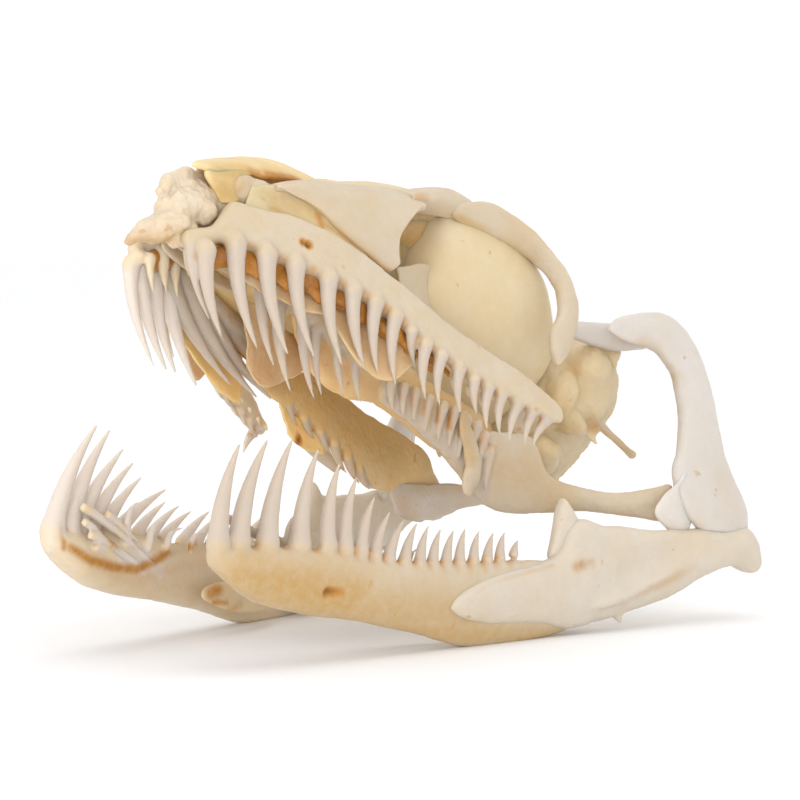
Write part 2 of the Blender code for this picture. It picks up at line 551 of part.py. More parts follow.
def palate_bones(side, tag, bones, helpers):
    stations = [(side * x, y, z, w, h) for x, y, z, w, h in PALATINE_STATIONS]
    palatine = lofted("palatine_" + tag, bar_sections(stations, 8), from_head, BONE, bones)
    teeth = []
    for i in range(6):
        y = 10.2 + 2.3 * i
        root = Vector((side * (4.55 + 0.09 * i), y, 0.3 - 0.1 * i))
        length = 4.6 - 0.3 * i
        tip = root + Vector((0.0, 0.6 * length, -0.8 * length))
        teeth.append((root, tip, 0.42, Vector((0.0, -0.3, -0.1))))
    grow_teeth(palatine, "palatine_teeth_" + tag, teeth, from_head, helpers, 4)
    top = on_side(PTERYGOID_TOP[side], side)
    low = on_side(PTERYGOID_LOW[side], side)
    thick = [0.9, 1.3, 1.3, 1.3, 1.3, 1.3, 1.3, 1.4, 1.2]
    pterygoid = lofted("pterygoid_" + tag, blade_sections(low, top, thick), from_jaw, BONE, bones)
    teeth = []
    for i in range(7):
        share = i / 6
        root = low[0].lerp(low[2], share) + Vector((side * 0.1, 0.0, 0.1))
        length = 3.0 - 1.2 * share
        tip = root + Vector((0.0, 0.35 * length, -0.9 * length))
        teeth.append((root, tip, 0.38, Vector((0.0, -0.2, 0.0))))
    grow_teeth(pterygoid, "pterygoid_teeth_" + tag, teeth, from_jaw, helpers, 4)
    stations = [(side * x, y, z, w, h) for x, y, z, w, h in ECTOPTERYGOID[side]]
    lofted("ectopterygoid_" + tag, bar_sections(stations, 8), from_head, BONE, bones)


def clear_scene():
    for leftover in list(bpy.data.objects):
        bpy.data.objects.remove(leftover, do_unlink=True)


def main():
    clear_scene()
    bones = bpy.data.collections.new("python_skull")
    helpers = bpy.data.collections.new("python_skull_helpers")
    bpy.context.scene.collection.children.link(bones)
    bpy.context.scene.collection.children.link(helpers)
    premaxilla(bones, helpers)
    vault_bones(bones, helpers)
    for side, tag in ((1, "left"), (-1, "right")):
        snout_bones(side, tag, bones)
        orbit_bones(side, tag, bones)
        hind_bones(side, tag, bones)
        upper_jaw_bone("maxilla_" + tag, side, bones, helpers)
        palate_bones(side, tag, bones, helpers)
        quadrate_bone("quadrate_" + tag, side, bones)
        tooth_bearing_bone("dentary_" + tag, side, bones, helpers)
        compound_bone("compound_" + tag, side, bones, helpers)
        coronoid_bone("coronoid_" + tag, side, bones)
        inner_jaw_plates(side, tag, bones)
    helpers.hide_render = True


main()
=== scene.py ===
"""The look of a dried python skull with its lower jaws, standing on its frame of solids.

Lengths are millimetres. Upper skull bones are set out in head measures (x to the animal's left,
y backwards along the upper tooth row, z up from it); lower jaws, quadrates and pterygoids in jaw
measures (x left, y back, z up from the level of the gape). Both are turned into the frame's metres.
"""

import math

import bmesh
import bpy
import numpy as np
from mathutils import Euler, Matrix, Vector, noise


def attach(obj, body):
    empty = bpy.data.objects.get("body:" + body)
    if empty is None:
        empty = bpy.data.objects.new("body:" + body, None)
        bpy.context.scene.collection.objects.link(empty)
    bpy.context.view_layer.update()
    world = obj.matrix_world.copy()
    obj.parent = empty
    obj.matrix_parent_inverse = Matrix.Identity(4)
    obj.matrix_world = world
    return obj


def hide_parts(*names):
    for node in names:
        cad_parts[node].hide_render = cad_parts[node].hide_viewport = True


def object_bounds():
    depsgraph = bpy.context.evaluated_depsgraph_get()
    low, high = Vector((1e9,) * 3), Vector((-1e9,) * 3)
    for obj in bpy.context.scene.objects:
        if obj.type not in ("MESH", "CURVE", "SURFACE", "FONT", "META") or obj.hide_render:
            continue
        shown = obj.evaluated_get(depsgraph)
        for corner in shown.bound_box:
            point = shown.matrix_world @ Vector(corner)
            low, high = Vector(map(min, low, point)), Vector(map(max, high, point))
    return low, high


MM = 0.001
HEAD_PITCH = math.radians(29.2)
HEAD_ROLL = math.radians(7.5)
SNOUT = Vector((0.0, -31.3, 15.16))
TABLE = -21.0
MIDDLE_Y = -2.75
HEAD_TURN = Euler((-HEAD_PITCH, 0.0, 0.0)).to_matrix() @ Euler((0.0, -HEAD_ROLL, 0.0)).to_matrix()

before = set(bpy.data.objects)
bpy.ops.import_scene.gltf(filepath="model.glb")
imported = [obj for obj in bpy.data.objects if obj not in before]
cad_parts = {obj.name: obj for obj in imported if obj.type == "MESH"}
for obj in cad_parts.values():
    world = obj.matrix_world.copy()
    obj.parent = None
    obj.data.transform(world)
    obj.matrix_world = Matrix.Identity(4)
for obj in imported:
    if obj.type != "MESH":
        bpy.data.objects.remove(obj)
cad_low, cad_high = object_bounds()


# A set of measures is a turn and an offset that bring its points to jaw measures.
JAW = (np.eye(3), np.zeros(3))
HEAD = (np.array(HEAD_TURN), np.array(SNOUT))


def on_side(points, side):
    """The same points on the animal's left (1) or right (-1)."""
    return [(side * p[0], *p[1:]) for p in points]


def smooth_run(rows, steps):
    """Rows of numbers drawn out into a smooth run that passes through each of them."""
    drawn = []
    last = len(rows) - 1
    for i in range(last):
        a, b, c, d = rows[max(i - 1, 0)], rows[i], rows[i + 1], rows[min(i + 2, last)]
        for k in range(steps):
            t = k / steps
            drawn.append([
                0.5 * (2 * q + (r - p) * t + (2 * p - 5 * q + 4 * r - s) * t * t + (3 * q - p - 3 * r + s) * t ** 3)
                for p, q, r, s in zip(a, b, c, d)
            ])
    drawn.append(list(rows[last]))
    return drawn


def directions(path):
    along = []
    for i in range(len(path)):
        along.append((path[min(i + 1, len(path) - 1)] - path[max(i - 1, 0)]).normalized())
    return along


def rounded(rings, count=3):
    """Draws the first and last rings in, so that a bone ends in a rounded edge."""
    for i in range(count):
        share = 1.0 - (i + 0.35) / count
        scale = math.sqrt(1.0 - share * share)
        for ring in (rings[i], rings[-1 - i]):
            centre = sum(ring, Vector()) / len(ring)
            ring[:] = [centre + (point - centre) * scale for point in ring]
    return rings


def blade(low, high, thick, steps=6, points=20):
    """Flat oval rings, each spanning from a low edge to a high edge."""
    rows = smooth_run([(*a, *b, wide) for a, b, wide in zip(low, high, thick)], steps)
    path = [Vector([(row[i] + row[i + 3]) / 2 for i in range(3)]) for row in rows]
    rings = []
    for row, along in zip(rows, directions(path)):
        foot = Vector(row[:3])
        up = Vector(row[3:6]) - foot
        out = along.cross(up).normalized() * (row[6] / 2)
        ring = []
        for i in range(points):
            turn = 2 * math.pi * i / points
            bulge = math.copysign(abs(math.sin(turn)) ** 0.75, math.sin(turn))
            ring.append(foot + up * (0.5 - 0.5 * math.cos(turn)) + out * bulge)
        rings.append(ring)
    return rounded(rings)


def bar(stations, steps=6, points=16, lift=Vector((0.0, 0.0, 1.0))):
    """Oval rings along x, y, z, half width, half height stations."""
    rows = smooth_run(stations, steps)
    path = [Vector(row[:3]) for row in rows]
    rings = []
    for row, centre, along in zip(rows, path, directions(path)):
        across = along.cross(lift).normalized()
        up = across.cross(along).normalized()
        ring = []
        for i in range(points):
            turn = 2 * math.pi * i / points
            ring.append(centre + across * (row[3] * math.cos(turn)) + up * (row[4] * math.sin(turn)))
        rings.append(ring)
    return rounded(rings)


def shell(bm, rings):
    """Closes a body through rings that all have the same number of points."""
    count = len(rings[0])
    ring = list(bmesh.ops.create_circle(bm, segments=count, radius=1.0, cap_ends=True)["verts"])
    rows = [ring]
    for vert, point in zip(ring, rings[0]):
        vert.co = point
    for points in rings[1:]:
        edges = [bm.edges.get((ring[i], ring[(i + 1) % count])) for i in range(count)]
        grown = bmesh.ops.extrude_edge_only(bm, edges=edges)["geom"]
        fresh = {item for item in grown if isinstance(item, bmesh.types.BMVert)}
        ring = [next(v for v in (e.other_vert(vert) for e in vert.link_edges) if v in fresh) for vert in ring]
        for vert, point in zip(ring, points):
            vert.co = point
        rows.append(ring)
    bmesh.ops.contextual_create(bm, geom=[bm.edges.get((ring[i], ring[i - 1])) for i in range(count)])
    return rows


def lumps(bm, rows):
    """Round lumps, each as its middle and its three half widths."""
    for x, y, z, wide, long, high in rows:
        place = Matrix.LocRotScale(Vector((x, y, z)), None, Vector((wide, long, high)))
        bmesh.ops.create_icosphere(bm, subdivisions=3, radius=1.0, matrix=place)


def sheet(bm, rows, steps=5):
    """A bent plate through rows of points, smooth in both directions."""
    drawn = smooth_run([[value for point in row for value in point] for row in rows], steps)
    fine = [smooth_run([row[i:i + 3] for i in range(0, len(row), 3)], steps) for row in drawn]
    across, down = len(fine[0]), len(fine)
    grid = bmesh.ops.create_grid(bm, x_segments=across - 1, y_segments=down - 1, size=1.0)["verts"]
    for vert, point in zip(grid, [point for row in fine for point in row]):
        vert.co = point


def torn(bm, depth):
    """Frays the open edges of the sheets in a mesh."""
    for vert in bm.verts:
        if vert.is_boundary:
            vert.co += noise.noise_vector(vert.co * 1.1) * depth


# Distance along a tooth from its root to its tip, and its width there.
TOOTH_PROFILE = (
    (-0.14, 0.90), (-0.08, 1.10), (-0.02, 1.24), (0.02, 1.26), (0.07, 1.15), (0.15, 1.0), (0.26, 0.91),
    (0.40, 0.80), (0.54, 0.66), (0.68, 0.51), (0.80, 0.37), (0.90, 0.25), (0.97, 0.17), (1.0, 0.11),
)
TOOTH_POINTS = 14
# How far an upper root leans in towards the midline, in widths of its tooth, and over what share of its length.
ROOT_LEAN = 1.3
ROOT_SHARE = 0.10


def tooth(bm, root, tip, girth, bend, flare=1.0, lean=0.0):
    """One recurved tooth that widens where it is fused to the jaw."""
    root, tip, bend = Vector(root), Vector(tip), Vector(bend)
    run = tip - root
    inward = Vector((-math.copysign(lean * girth, root.x), 0.0, 0.0))
    path = []
    for s, _ in TOOTH_PROFILE:
        path.append(root + run * s + bend * (4 * s * (1 - s)) + inward * max(0.0, -s / ROOT_SHARE))
    rings = []
    for centre, along, (_, width) in zip(path, directions(path), TOOTH_PROFILE):
        if width > 1.0:
            width = 1.0 + (width - 1.0) * flare
        across = along.cross(Vector((0.0, 1.0, 0.3))).normalized()
        back = across.cross(along).normalized()
        ring = []
        for i in range(TOOTH_POINTS):
            turn = 2 * math.pi * i / TOOTH_POINTS
            ring.append(centre + (across * math.cos(turn) + back * (1.1 * math.sin(turn))) * (girth * width))
        rings.append(ring)
    shell(bm, rings)


def melted(bm, grain):
    """Fuses the bodies of a mesh into one skin, as teeth are fused to their bone."""
    bmesh.ops.recalc_face_normals(bm, faces=bm.faces)
    parts = bpy.data.meshes.new("fusing")
    bm.to_mesh(parts)
    bm.free()
    holder = bpy.data.objects.new("fusing", parts)
    bpy.context.scene.collection.objects.link(holder)
    remesh = holder.modifiers.new("fusing", "REMESH")
    remesh.mode = "VOXEL"
    remesh.voxel_size = grain
    skin = bpy.data.meshes.new_from_object(holder.evaluated_get(bpy.context.evaluated_depsgraph_get()))
    fused = bmesh.new()
    fused.from_mesh(skin)
    bpy.data.objects.remove(holder)
    bpy.data.meshes.remove(parts)
    bpy.data.meshes.remove(skin)
    return fused


def smoothed(bm, verts, rounds):
    for _ in range(rounds):
        bmesh.ops.smooth_vert(bm, verts=verts, factor=0.5, use_axis_x=True, use_axis_y=True, use_axis_z=True)


def eased(values):
    """Brings values into 0 to 1, with a soft start and end."""
    share = np.clip(values, 0.0, 1.0)
    return share * share * (3.0 - 2.0 * share)


def brushed(points, marks):
    """How much each point is covered by strokes of start, end, radius and amount."""
    cover = np.zeros(len(points))
    for start, end, radius, amount in marks:
        start, run = np.array(start), np.array(end) - np.array(start)
        share = np.clip((points - start) @ run / max(float(run @ run), 1e-9), 0.0, 1.0)
        apart = np.linalg.norm(points - start - share[:, None] * run, axis=1)
        cover = np.maximum(cover, amount * eased(1.0 - apart / radius))
    return cover


def height_on_teeth(points, teeth):
    """How far up its tooth each point is, from 0 at the root to 1, and -0.3 away from the teeth."""
    height = np.full(len(points), -0.3)
    for root, tip, girth, bend in teeth:
        root, bend = np.array(root), np.array(bend)
        run = np.array(tip) - root
        share = np.clip((points - root) @ run / (run @ run), -0.3, 1.1)
        middle = root + share[:, None] * run + (4 * share * (1 - share))[:, None] * bend
        close = np.linalg.norm(points - middle, axis=1) < 1.7 * girth
        height = np.where(close, np.maximum(height, share), height)
    return height


def fused_teeth(bm, teeth, grain=0.13, rounds=8):
    """One skin for a bone and its teeth, with the roots flowing into the bone."""
    bm = melted(bm, grain)
    height = height_on_teeth(np.array([vert.co[:] for vert in bm.verts]), teeth)
    smoothed(bm, [vert for vert, up in zip(bm.verts, height) if up < 0.12], rounds)
    smoothed(bm, bm.verts, 2)
    return bm


def finish_piece(
    name, bm, place, nodes, material,
    dents=(), stains=(), tans_and_shade=(), teeth=(), uneven=0.05, subdivide=1, wall=0.0, ivory=1.0,
):
    """Works marks and unevenness into a mesh and makes it the piece that stands for its solids."""
    bmesh.ops.recalc_face_normals(bm, faces=bm.faces)
    for face in bm.faces:
        face.smooth = True
    mesh = bpy.data.meshes.new(name)
    bm.to_mesh(mesh)
    bm.free()
    points = np.empty(3 * len(mesh.vertices), np.float32)
    normals = np.empty_like(points)
    mesh.vertices.foreach_get("co", points)
    mesh.vertex_normals.foreach_get("vector", normals)
    points, normals = points.reshape(-1, 3).astype(float), normals.reshape(-1, 3)
    enamel = eased((height_on_teeth(points, teeth) + 0.06) / 0.14) if teeth else np.zeros(len(points))
    rough = np.array([noise.noise(Vector(p) * 0.7) + 0.5 * noise.noise(Vector(p) * 2.1) for p in points])
    depth = uneven * rough * (1.0 - 0.8 * enamel) - brushed(points, dents)
    # The brownish marks carry both stains and painted shade.
    for key, values in (("enamel", ivory * enamel), ("stain", brushed(points, stains)), ("tan_and_shade", brushed(points, tans_and_shade))):
        mesh.attributes.new(key, "FLOAT", "POINT").data.foreach_set("value", np.clip(values, 0.0, 1.0))
    turn, offset = place
    points = (points + normals * depth[:, None]) @ turn.T + offset - (0.0, MIDDLE_Y, TABLE)
    spare = wall / 2 * MM
    points = np.clip(points * MM, np.array(cad_low) + spare, np.array(cad_high) - spare)
    mesh.vertices.foreach_set("co", points.astype(np.float32).ravel())
    mesh.update()
    mesh.materials.append(material)
    made = bpy.data.objects.new(name, mesh)
    bpy.context.scene.collection.objects.link(made)
    if wall:
        thicken = made.modifiers.new("bone thickness", "SOLIDIFY")
        thicken.thickness = wall * MM
        thicken.offset = 0.0
    if subdivide:
        smoother = made.modifiers.new("smoothing", "SUBSURF")
        smoother.levels = subdivide
        smoother.render_levels = subdivide
    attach(made, "root")
    if nodes:
        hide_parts(*nodes)
    return made


# Surfaces


def node(tree, kind, **values):
    made = tree.nodes.new(kind)
    for key, value in values.items():
        if key in made.inputs:
            made.inputs[key].default_value = value
        else:
            setattr(made, key, value)
    return made


def cloud(tree, scale, low, high, detail=4.0):
    """Cloudy variation on the piece's own coordinates, spread from 0 to 1 between two levels."""
    place = node(tree, "ShaderNodeTexCoord")
    pattern = node(tree, "ShaderNodeTexNoise", Scale=scale, Detail=detail, Roughness=0.6)
    spread = node(tree, "ShaderNodeMapRange")
    spread.inputs["From Min"].default_value = low
    spread.inputs["From Max"].default_value = high
    tree.links.new(place.outputs["Object"], pattern.inputs["Vector"])
    tree.links.new(pattern.outputs["Fac"], spread.inputs["Value"])
    return spread.outputs["Result"]


def times(tree, a, b):
    made = node(tree, "ShaderNodeMath", operation="MULTIPLY", use_clamp=True)
    for socket, value in zip(made.inputs, (a, b)):
        if isinstance(value, float):
            socket.default_value = value
        else:
            tree.links.new(value, socket)
    return made.outputs[0]


def blend(tree, amount, first, second):
    made = node(tree, "ShaderNodeMix", data_type="RGBA")
    tree.links.new(amount, made.inputs["Factor"])
    for index, value in ((6, first), (7, second)):
        if isinstance(value, tuple):
            made.inputs[index].default_value = (*value, 1.0)
        else:
            tree.links.new(value, made.inputs[index])
    return made.outputs[2]


def attribute(tree, name):
    return node(tree, "ShaderNodeAttribute", attribute_name=name).outputs["Fac"]


def bone(name, pale, warm, glow=0.25, rough=(0.42, 0.62), relief=0.25, ivory=(0.51, 0.43, 0.35)):
    """Dry bone: cream with warmer clouds, brownish marks that are partly stains and partly painted shade, orange
    stains, faint specks and a slightly pitted skin.
    """
    material = bpy.data.materials.new(name)
    material.use_nodes = True
    tree = material.node_tree
    shader = tree.nodes["Principled BSDF"]
    base = blend(tree, cloud(tree, 170.0, 0.36, 0.66), pale, warm)
    base = blend(tree, times(tree, cloud(tree, 900.0, 0.35, 0.75), 0.35), base, tuple(0.93 * c for c in warm))
    base = blend(tree, times(tree, cloud(tree, 620.0, 0.70, 0.74, 2.0), 0.45), base, ORANGE_STAIN)
    patchy = node(tree, "ShaderNodeMath", operation="MULTIPLY_ADD", use_clamp=True)
    tree.links.new(cloud(tree, 1300.0, 0.2, 0.8), patchy.inputs[0])
    patchy.inputs[1].default_value = 0.7
    patchy.inputs[2].default_value = 0.55
    base = blend(tree, times(tree, attribute(tree, "tan_and_shade"), patchy.outputs[0]), base, TAN_STAIN_AND_SHADE)
    base = blend(tree, attribute(tree, "enamel"), base, ivory)
    stain = times(tree, attribute(tree, "stain"), patchy.outputs[0])
    for start, end, colour in ((0.0, 0.5, ORANGE_STAIN), (0.5, 1.0, BROWN_STAIN)):
        step = node(tree, "ShaderNodeMapRange")
        step.inputs["From Min"].default_value = start
        step.inputs["From Max"].default_value = end
        tree.links.new(stain, step.inputs["Value"])
        base = blend(tree, step.outputs["Result"], base, colour)
    tree.links.new(base, shader.inputs["Base Color"])
    sheen = node(tree, "ShaderNodeMapRange")
    sheen.inputs["To Min"].default_value = rough[0]
    sheen.inputs["To Max"].default_value = rough[1]
    tree.links.new(cloud(tree, 420.0, 0.3, 0.7), sheen.inputs["Value"])
    tree.links.new(sheen.outputs["Result"], shader.inputs["Roughness"])
    shader.inputs["Subsurface Weight"].default_value = glow
    shader.inputs["Subsurface Radius"].default_value = (1.0, 0.62, 0.35)
    shader.inputs["Subsurface Scale"].default_value = 0.0012
    bump = node(tree, "ShaderNodeBump", Strength=relief, Distance=0.00015)
    tree.links.new(cloud(tree, 2600.0, 0.25, 0.75, 6.0), bump.inputs["Height"])
    tree.links.new(bump.outputs["Normal"], shader.inputs["Normal"])
    return material


# Colour of the brownish marks, which are partly stains and partly painted shade in recesses and on faces turned from
# the light.
TAN_STAIN_AND_SHADE = (0.48, 0.30, 0.10)
ORANGE_STAIN = (0.46, 0.21, 0.03)
BROWN_STAIN = (0.20, 0.07, 0.01)
CREAM = bone("cream_bone", (0.57, 0.485, 0.375), (0.55, 0.44, 0.29), 0.35)
# A lighter copy of the cream bone, base and teeth, for the right side whose faces lie in shade: painted light.
LIT_FAR_SIDE_BONE = bone("far_side_bone_painted_light", (0.70, 0.60, 0.46), (0.69, 0.55, 0.36), 0.4, ivory=(0.66, 0.59, 0.52))
CLEAN = bone("clean_cream_bone", (0.61, 0.55, 0.46), (0.59, 0.50, 0.38), 0.35)
GOLD = bone("gold_bone", (0.74, 0.58, 0.32), (0.72, 0.51, 0.22), 0.4)
YELLOW = bone("thin_yellow_bone", (0.66, 0.55, 0.37), (0.64, 0.50, 0.29), glow=0.4)
PALE = bone("pale_bone", (0.61, 0.57, 0.53), (0.59, 0.53, 0.46), 0.35)
# Tan bone for the keel and the skin and gristle in the mouth, made much lighter than the bone is to make up for the
# shade there: painted light.
MOUTH_BONE_WITH_PAINTED_LIGHT = bone("mouth_bone_with_painted_light", (0.86, 0.63, 0.34), (0.82, 0.54, 0.24), glow=0.5, rough=(0.35, 0.55))
SOCKET = bone("dried_socket_tissue", (0.56, 0.24, 0.03), (0.33, 0.12, 0.02), rough=(0.3, 0.55), relief=0.6)
MEMBRANE = bone("dried_membrane", (0.68, 0.50, 0.32), (0.54, 0.36, 0.19), glow=0.5, rough=(0.3, 0.5))
TISSUE = bone("crumbled_snout_tissue", (0.70, 0.60, 0.46), (0.64, 0.51, 0.35), 0.5, (0.3, 0.55), 0.7)
LIGAMENT = bone("dried_ligament", (0.67, 0.64, 0.61), (0.63, 0.58, 0.52), 0.5, (0.35, 0.6), 0.3)


# Upper tooth row in head measures, front to back: the root and the tip of each tooth.
UPPER_TEETH = (
    (3.1, 0.6, -0.8, 3.3, 5.0, -6.0), (4.4, 1.2, -1.2, 4.3, 5.8, -7.2), (5.3, 3.5, 0.6, 5.6, 8.9, -6.7),
    (6.7, 6.0, 0.8, 7.0, 11.3, -6.2), (7.9, 8.5, 1.0, 8.1, 13.4, -5.5), (9.3, 11.4, 1.1, 9.2, 15.9, -5.1),
    (10.3, 13.7, 1.1, 10.1, 18.0, -4.7), (11.2, 15.9, 1.0, 10.6, 19.2, -4.6), (12.0, 17.9, 0.6, 11.3, 20.9, -4.7),
    (12.7, 19.6, 0.0, 11.9, 22.3, -2.4), (13.3, 21.2, -0.6, 12.5, 23.8, -4.7), (13.9, 22.8, -0.9, 13.1, 25.1, -4.7),
    (14.5, 24.9, -1.2, 13.8, 27.3, -4.4), (15.0, 26.6, -1.4, 14.4, 28.9, -3.9), (15.3, 28.4, -1.3, 15.0, 29.9, -4.8),
    (15.7, 29.9, -1.3, 15.4, 31.3, -4.7), (16.1, 31.9, -1.3, 15.9, 32.2, -4.9), (16.5, 33.7, -1.2, 16.4, 33.8, -4.5),
    (16.9, 35.4, -1.1, 16.8, 34.4, -4.3),
)
# The right row's front teeth stand closer together in the photograph.
RIGHT_FRONT_TEETH = (
    (-3.6, 0.9, -1.9, -3.5, 6.7, -8.7), (-3.8, 1.6, 0.2, -3.7, 8.4, -8.1), (-4.2, 3.8, 1.4, -4.0, 9.9, -7.6),
    (-4.6, 5.3, 2.4, -4.3, 13.1, -7.2),
)

# Lower tooth rows in jaw measures, front to back: distance from the midline, y, z, length, lean.
LOWER_TEETH = {
    1: (
        (9.9, -35.0, -10.2, 8.5, 20), (10.2, -32.9, -10.3, 9.1, 25), (10.7, -29.9, -10.5, 9.0, 22),
        (11.3, -26.5, -10.7, 8.1, 19), (11.8, -23.6, -11.0, 7.0, 16), (12.1, -21.7, -11.3, 6.1, 18),
        (12.4, -20.0, -11.8, 5.1, 26), (12.6, -18.4, -12.2, 4.3, 34), (12.8, -16.8, -12.6, 4.1, 38),
        (13.1, -15.0, -12.9, 3.7, 33), (13.4, -13.3, -13.2, 3.5, 26), (13.6, -11.8, -13.3, 3.2, 27),
        (13.8, -10.2, -13.4, 3.1, 27), (14.0, -8.6, -13.4, 3.1, 23), (14.3, -7.0, -13.4, 2.8, 24),
        (14.5, -5.3, -13.3, 2.5, 30), (14.7, -3.8, -13.3, 2.4, 27), (15.0, -2.2, -13.2, 1.6, 40),
    ),
    -1: (
        (9.9, -34.7, -10.2, 10.0, 30), (10.3, -32.4, -10.5, 9.6, 29), (10.6, -31.0, -10.5, 8.5, 38),
        (10.9, -29.2, -10.6, 7.4, 42), (11.2, -27.4, -10.8, 6.3, 46), (11.6, -25.2, -11.1, 6.7, 60),
        (12.0, -22.3, -11.5, 4.3, 52), (12.4, -20.4, -12.1, 4.5, 53), (12.7, -18.4, -12.4, 4.3, 56),
        (13.0, -15.4, -12.8, 4.2, 52), (13.3, -13.2, -13.1, 3.4, 48), (13.6, -11.0, -13.3, 3.2, 45),
        (13.9, -8.8, -13.4, 3.0, 42), (14.2, -6.8, -13.4, 2.8, 40), (14.5, -4.8, -13.3, 2.5, 40),
        (14.8, -2.8, -13.2, 2.0, 40),
    ),
}

# Outer face of the upper jaw bone: y, x, low z, high z, thickness.
UPPER_JAW = (
    (-0.2, 3.6, -1.0, 0.0, 1.0), (1.0, 4.4, -0.7, 0.7, 1.5), (2.0, 5.0, -0.2, 1.5, 1.9),
    (2.6, 5.3, 0.2, 3.2, 2.2), (3.2, 5.6, 0.5, 4.5, 2.4), (5.2, 6.9, 0.8, 4.8, 2.6),
    (8.0, 8.3, 0.8, 5.5, 2.8), (11.0, 9.7, 0.9, 5.6, 2.9), (14.2, 11.1, 0.8, 5.2, 2.8),
    (17.0, 12.2, 0.5, 4.4, 2.6), (20.0, 13.4, -0.2, 3.6, 2.3), (23.5, 14.7, -0.9, 2.5, 2.1),
    (27.5, 16.0, -1.2, 2.0, 1.9), (31.5, 17.2, -1.2, 1.6, 1.8), (34.5, 17.9, -1.2, 1.1, 1.6),
    (36.8, 18.3, -1.1, 0.5, 1.0),
)


# How much higher than the left the right upper jaw bone lies: distance back, then height.
RIGHT_LIFT = ((0.0, -0.1), (1.6, 0.3), (3.8, 0.9), (5.3, 1.6), (10.0, 1.7), (24.0, 2.5), (35.0, 2.0))
LAID_BACK = range(5, 18)


def settled(point, side):
    """The right upper jaw bone has sunk in front and tipped up behind, as in the photograph."""
    if side > 0:
        return Vector(point)
    lift = float(np.interp(point[1], [row[0] for row in RIGHT_LIFT], [row[1] for row in RIGHT_LIFT]))
    return Vector((point[0] - 0.1, point[1], point[2] + lift))


def upper_tooth_places(side):
    """Root, tip, girth and bend of each tooth in one upper row."""
    places = []
    for number, (rx, ry, rz, tx, ty, tz) in enumerate(UPPER_TEETH):
        root = settled((side * rx, ry, rz), side)
        reach = Vector((side * (tx - rx), ty - ry, tz - rz))
        if side < 0 and number < len(RIGHT_FRONT_TEETH):
            rx, ry, rz, tx, ty, tz = RIGHT_FRONT_TEETH[number]
            root = Vector((rx, ry, rz))
            reach = Vector((tx, ty, tz)) - root
        length = reach.length
        girth = 0.28 + 0.055 * length
        if side < 0 and number in LAID_BACK:
            reach = Vector((0.0, 0.62 * length, -0.28 * length))
            girth *= 0.7
        if number == 0:
            girth *= 0.8
        bend = Vector((0.0, -0.10 * length, -0.03 * length))
        places.append((root, root + reach, girth, bend))
    return places


def between_teeth(places, drop, radius, amount):
    """Stain strokes in the sockets between neighbouring teeth."""
    marks = []
    for (root, _, _, _), (following, _, _, _) in zip(places, places[1:]):
        middle = (root + following) / 2
        marks.append((middle, middle + Vector((0.0, 0.0, drop)), radius, amount))
    return marks


UPPER_FORAMINA = ((8.6, 8.2, 3.0, 0.62), (8.7, 8.7, 3.0, 0.6), (9.9, 10.6, 2.6, 0.42), (10.3, 12.0, 2.4, 0.4))


def upper_jaw(side, tag):
    low, high = [], []
    for y, x, low_z, high_z, thick in UPPER_JAW:
        low.append(settled((side * (x - 0.1 - thick / 2), y, low_z), side))
        drop = 0.8 if side < 0 and y > 2.0 else 0.0
        high.append(settled((side * (x - 0.7 - thick / 2), y, high_z - drop), side))
    bm = bmesh.new()
    shell(bm, blade(low, high, [row[4] for row in UPPER_JAW], 9, 28))
    shelf = ((10.2, 16.0, 1.6, 2.2, 0.7), (8.6, 18.2, 1.9, 1.9, 0.6), (7.4, 19.8, 2.2, 1.2, 0.5))
    shell(bm, bar([(*settled((side * x, y, z), side), w, h) for x, y, z, w, h in shelf]))
    teeth = upper_tooth_places(side)
    for root, tip, girth, bend in teeth:
        tooth(bm, root, tip, girth, bend, 1.0, ROOT_LEAN)
    for (root, tip, girth, bend), (following, _, _, _) in zip(teeth, teeth[1:]):
        spare_root = (root + following) / 2 + Vector((-side * 1.5, 0.3, -0.2))
        spare = (tip - root) * 0.42
        tooth(bm, spare_root, spare_root + Vector((0.0, spare.y * 0.7, spare.z)), girth * 0.72, (0.0, -0.2, 0.0))
    bm = fused_teeth(bm, teeth)
    stains = between_teeth(teeth[:10], -0.3, 0.75, 0.34) + between_teeth(teeth[9:], -0.3, 0.6, 0.26)
    stains += between_teeth(teeth, -1.0, 0.6, 0.3)
    dents = []
    for x, y, z, radius in UPPER_FORAMINA:
        mark = settled((side * x, y, z), side)
        dents.append((mark, mark, radius, 0.7))
        stains.append((mark, mark, radius * 1.2, 2.0))
    name = "upper_jaw_bone_" + tag
    # The right side takes the lighter copy of the cream bone, painted light for its shaded faces.
    material = CREAM if side > 0 else LIT_FAR_SIDE_BONE
    finish_piece(name, bm, HEAD, ["maxilla_" + tag], material, dents, stains, (), teeth, 0.07, 0)
    bm = bmesh.new()
    stations = []
    for number, (root, _, girth, _) in enumerate(teeth):
        tall = 0.55 + 0.75 * girth
        if number > 8:
            tall = 0.5
        stations.append((root.x - side * 1.1, root.y + 0.4, root.z - 0.1 - 0.7 * tall, 0.4, tall))
    shell(bm, bar(stations[1:13], 5, 16))
    stains = [((x, y, z), (x, y + 0.3, z - 0.5), 0.7, 0.8) for x, y, z, _, _ in stations[2:12:2]]
    finish_piece("socket_tissue_" + tag, bm, HEAD, [], SOCKET, (), stains, uneven=0.85)


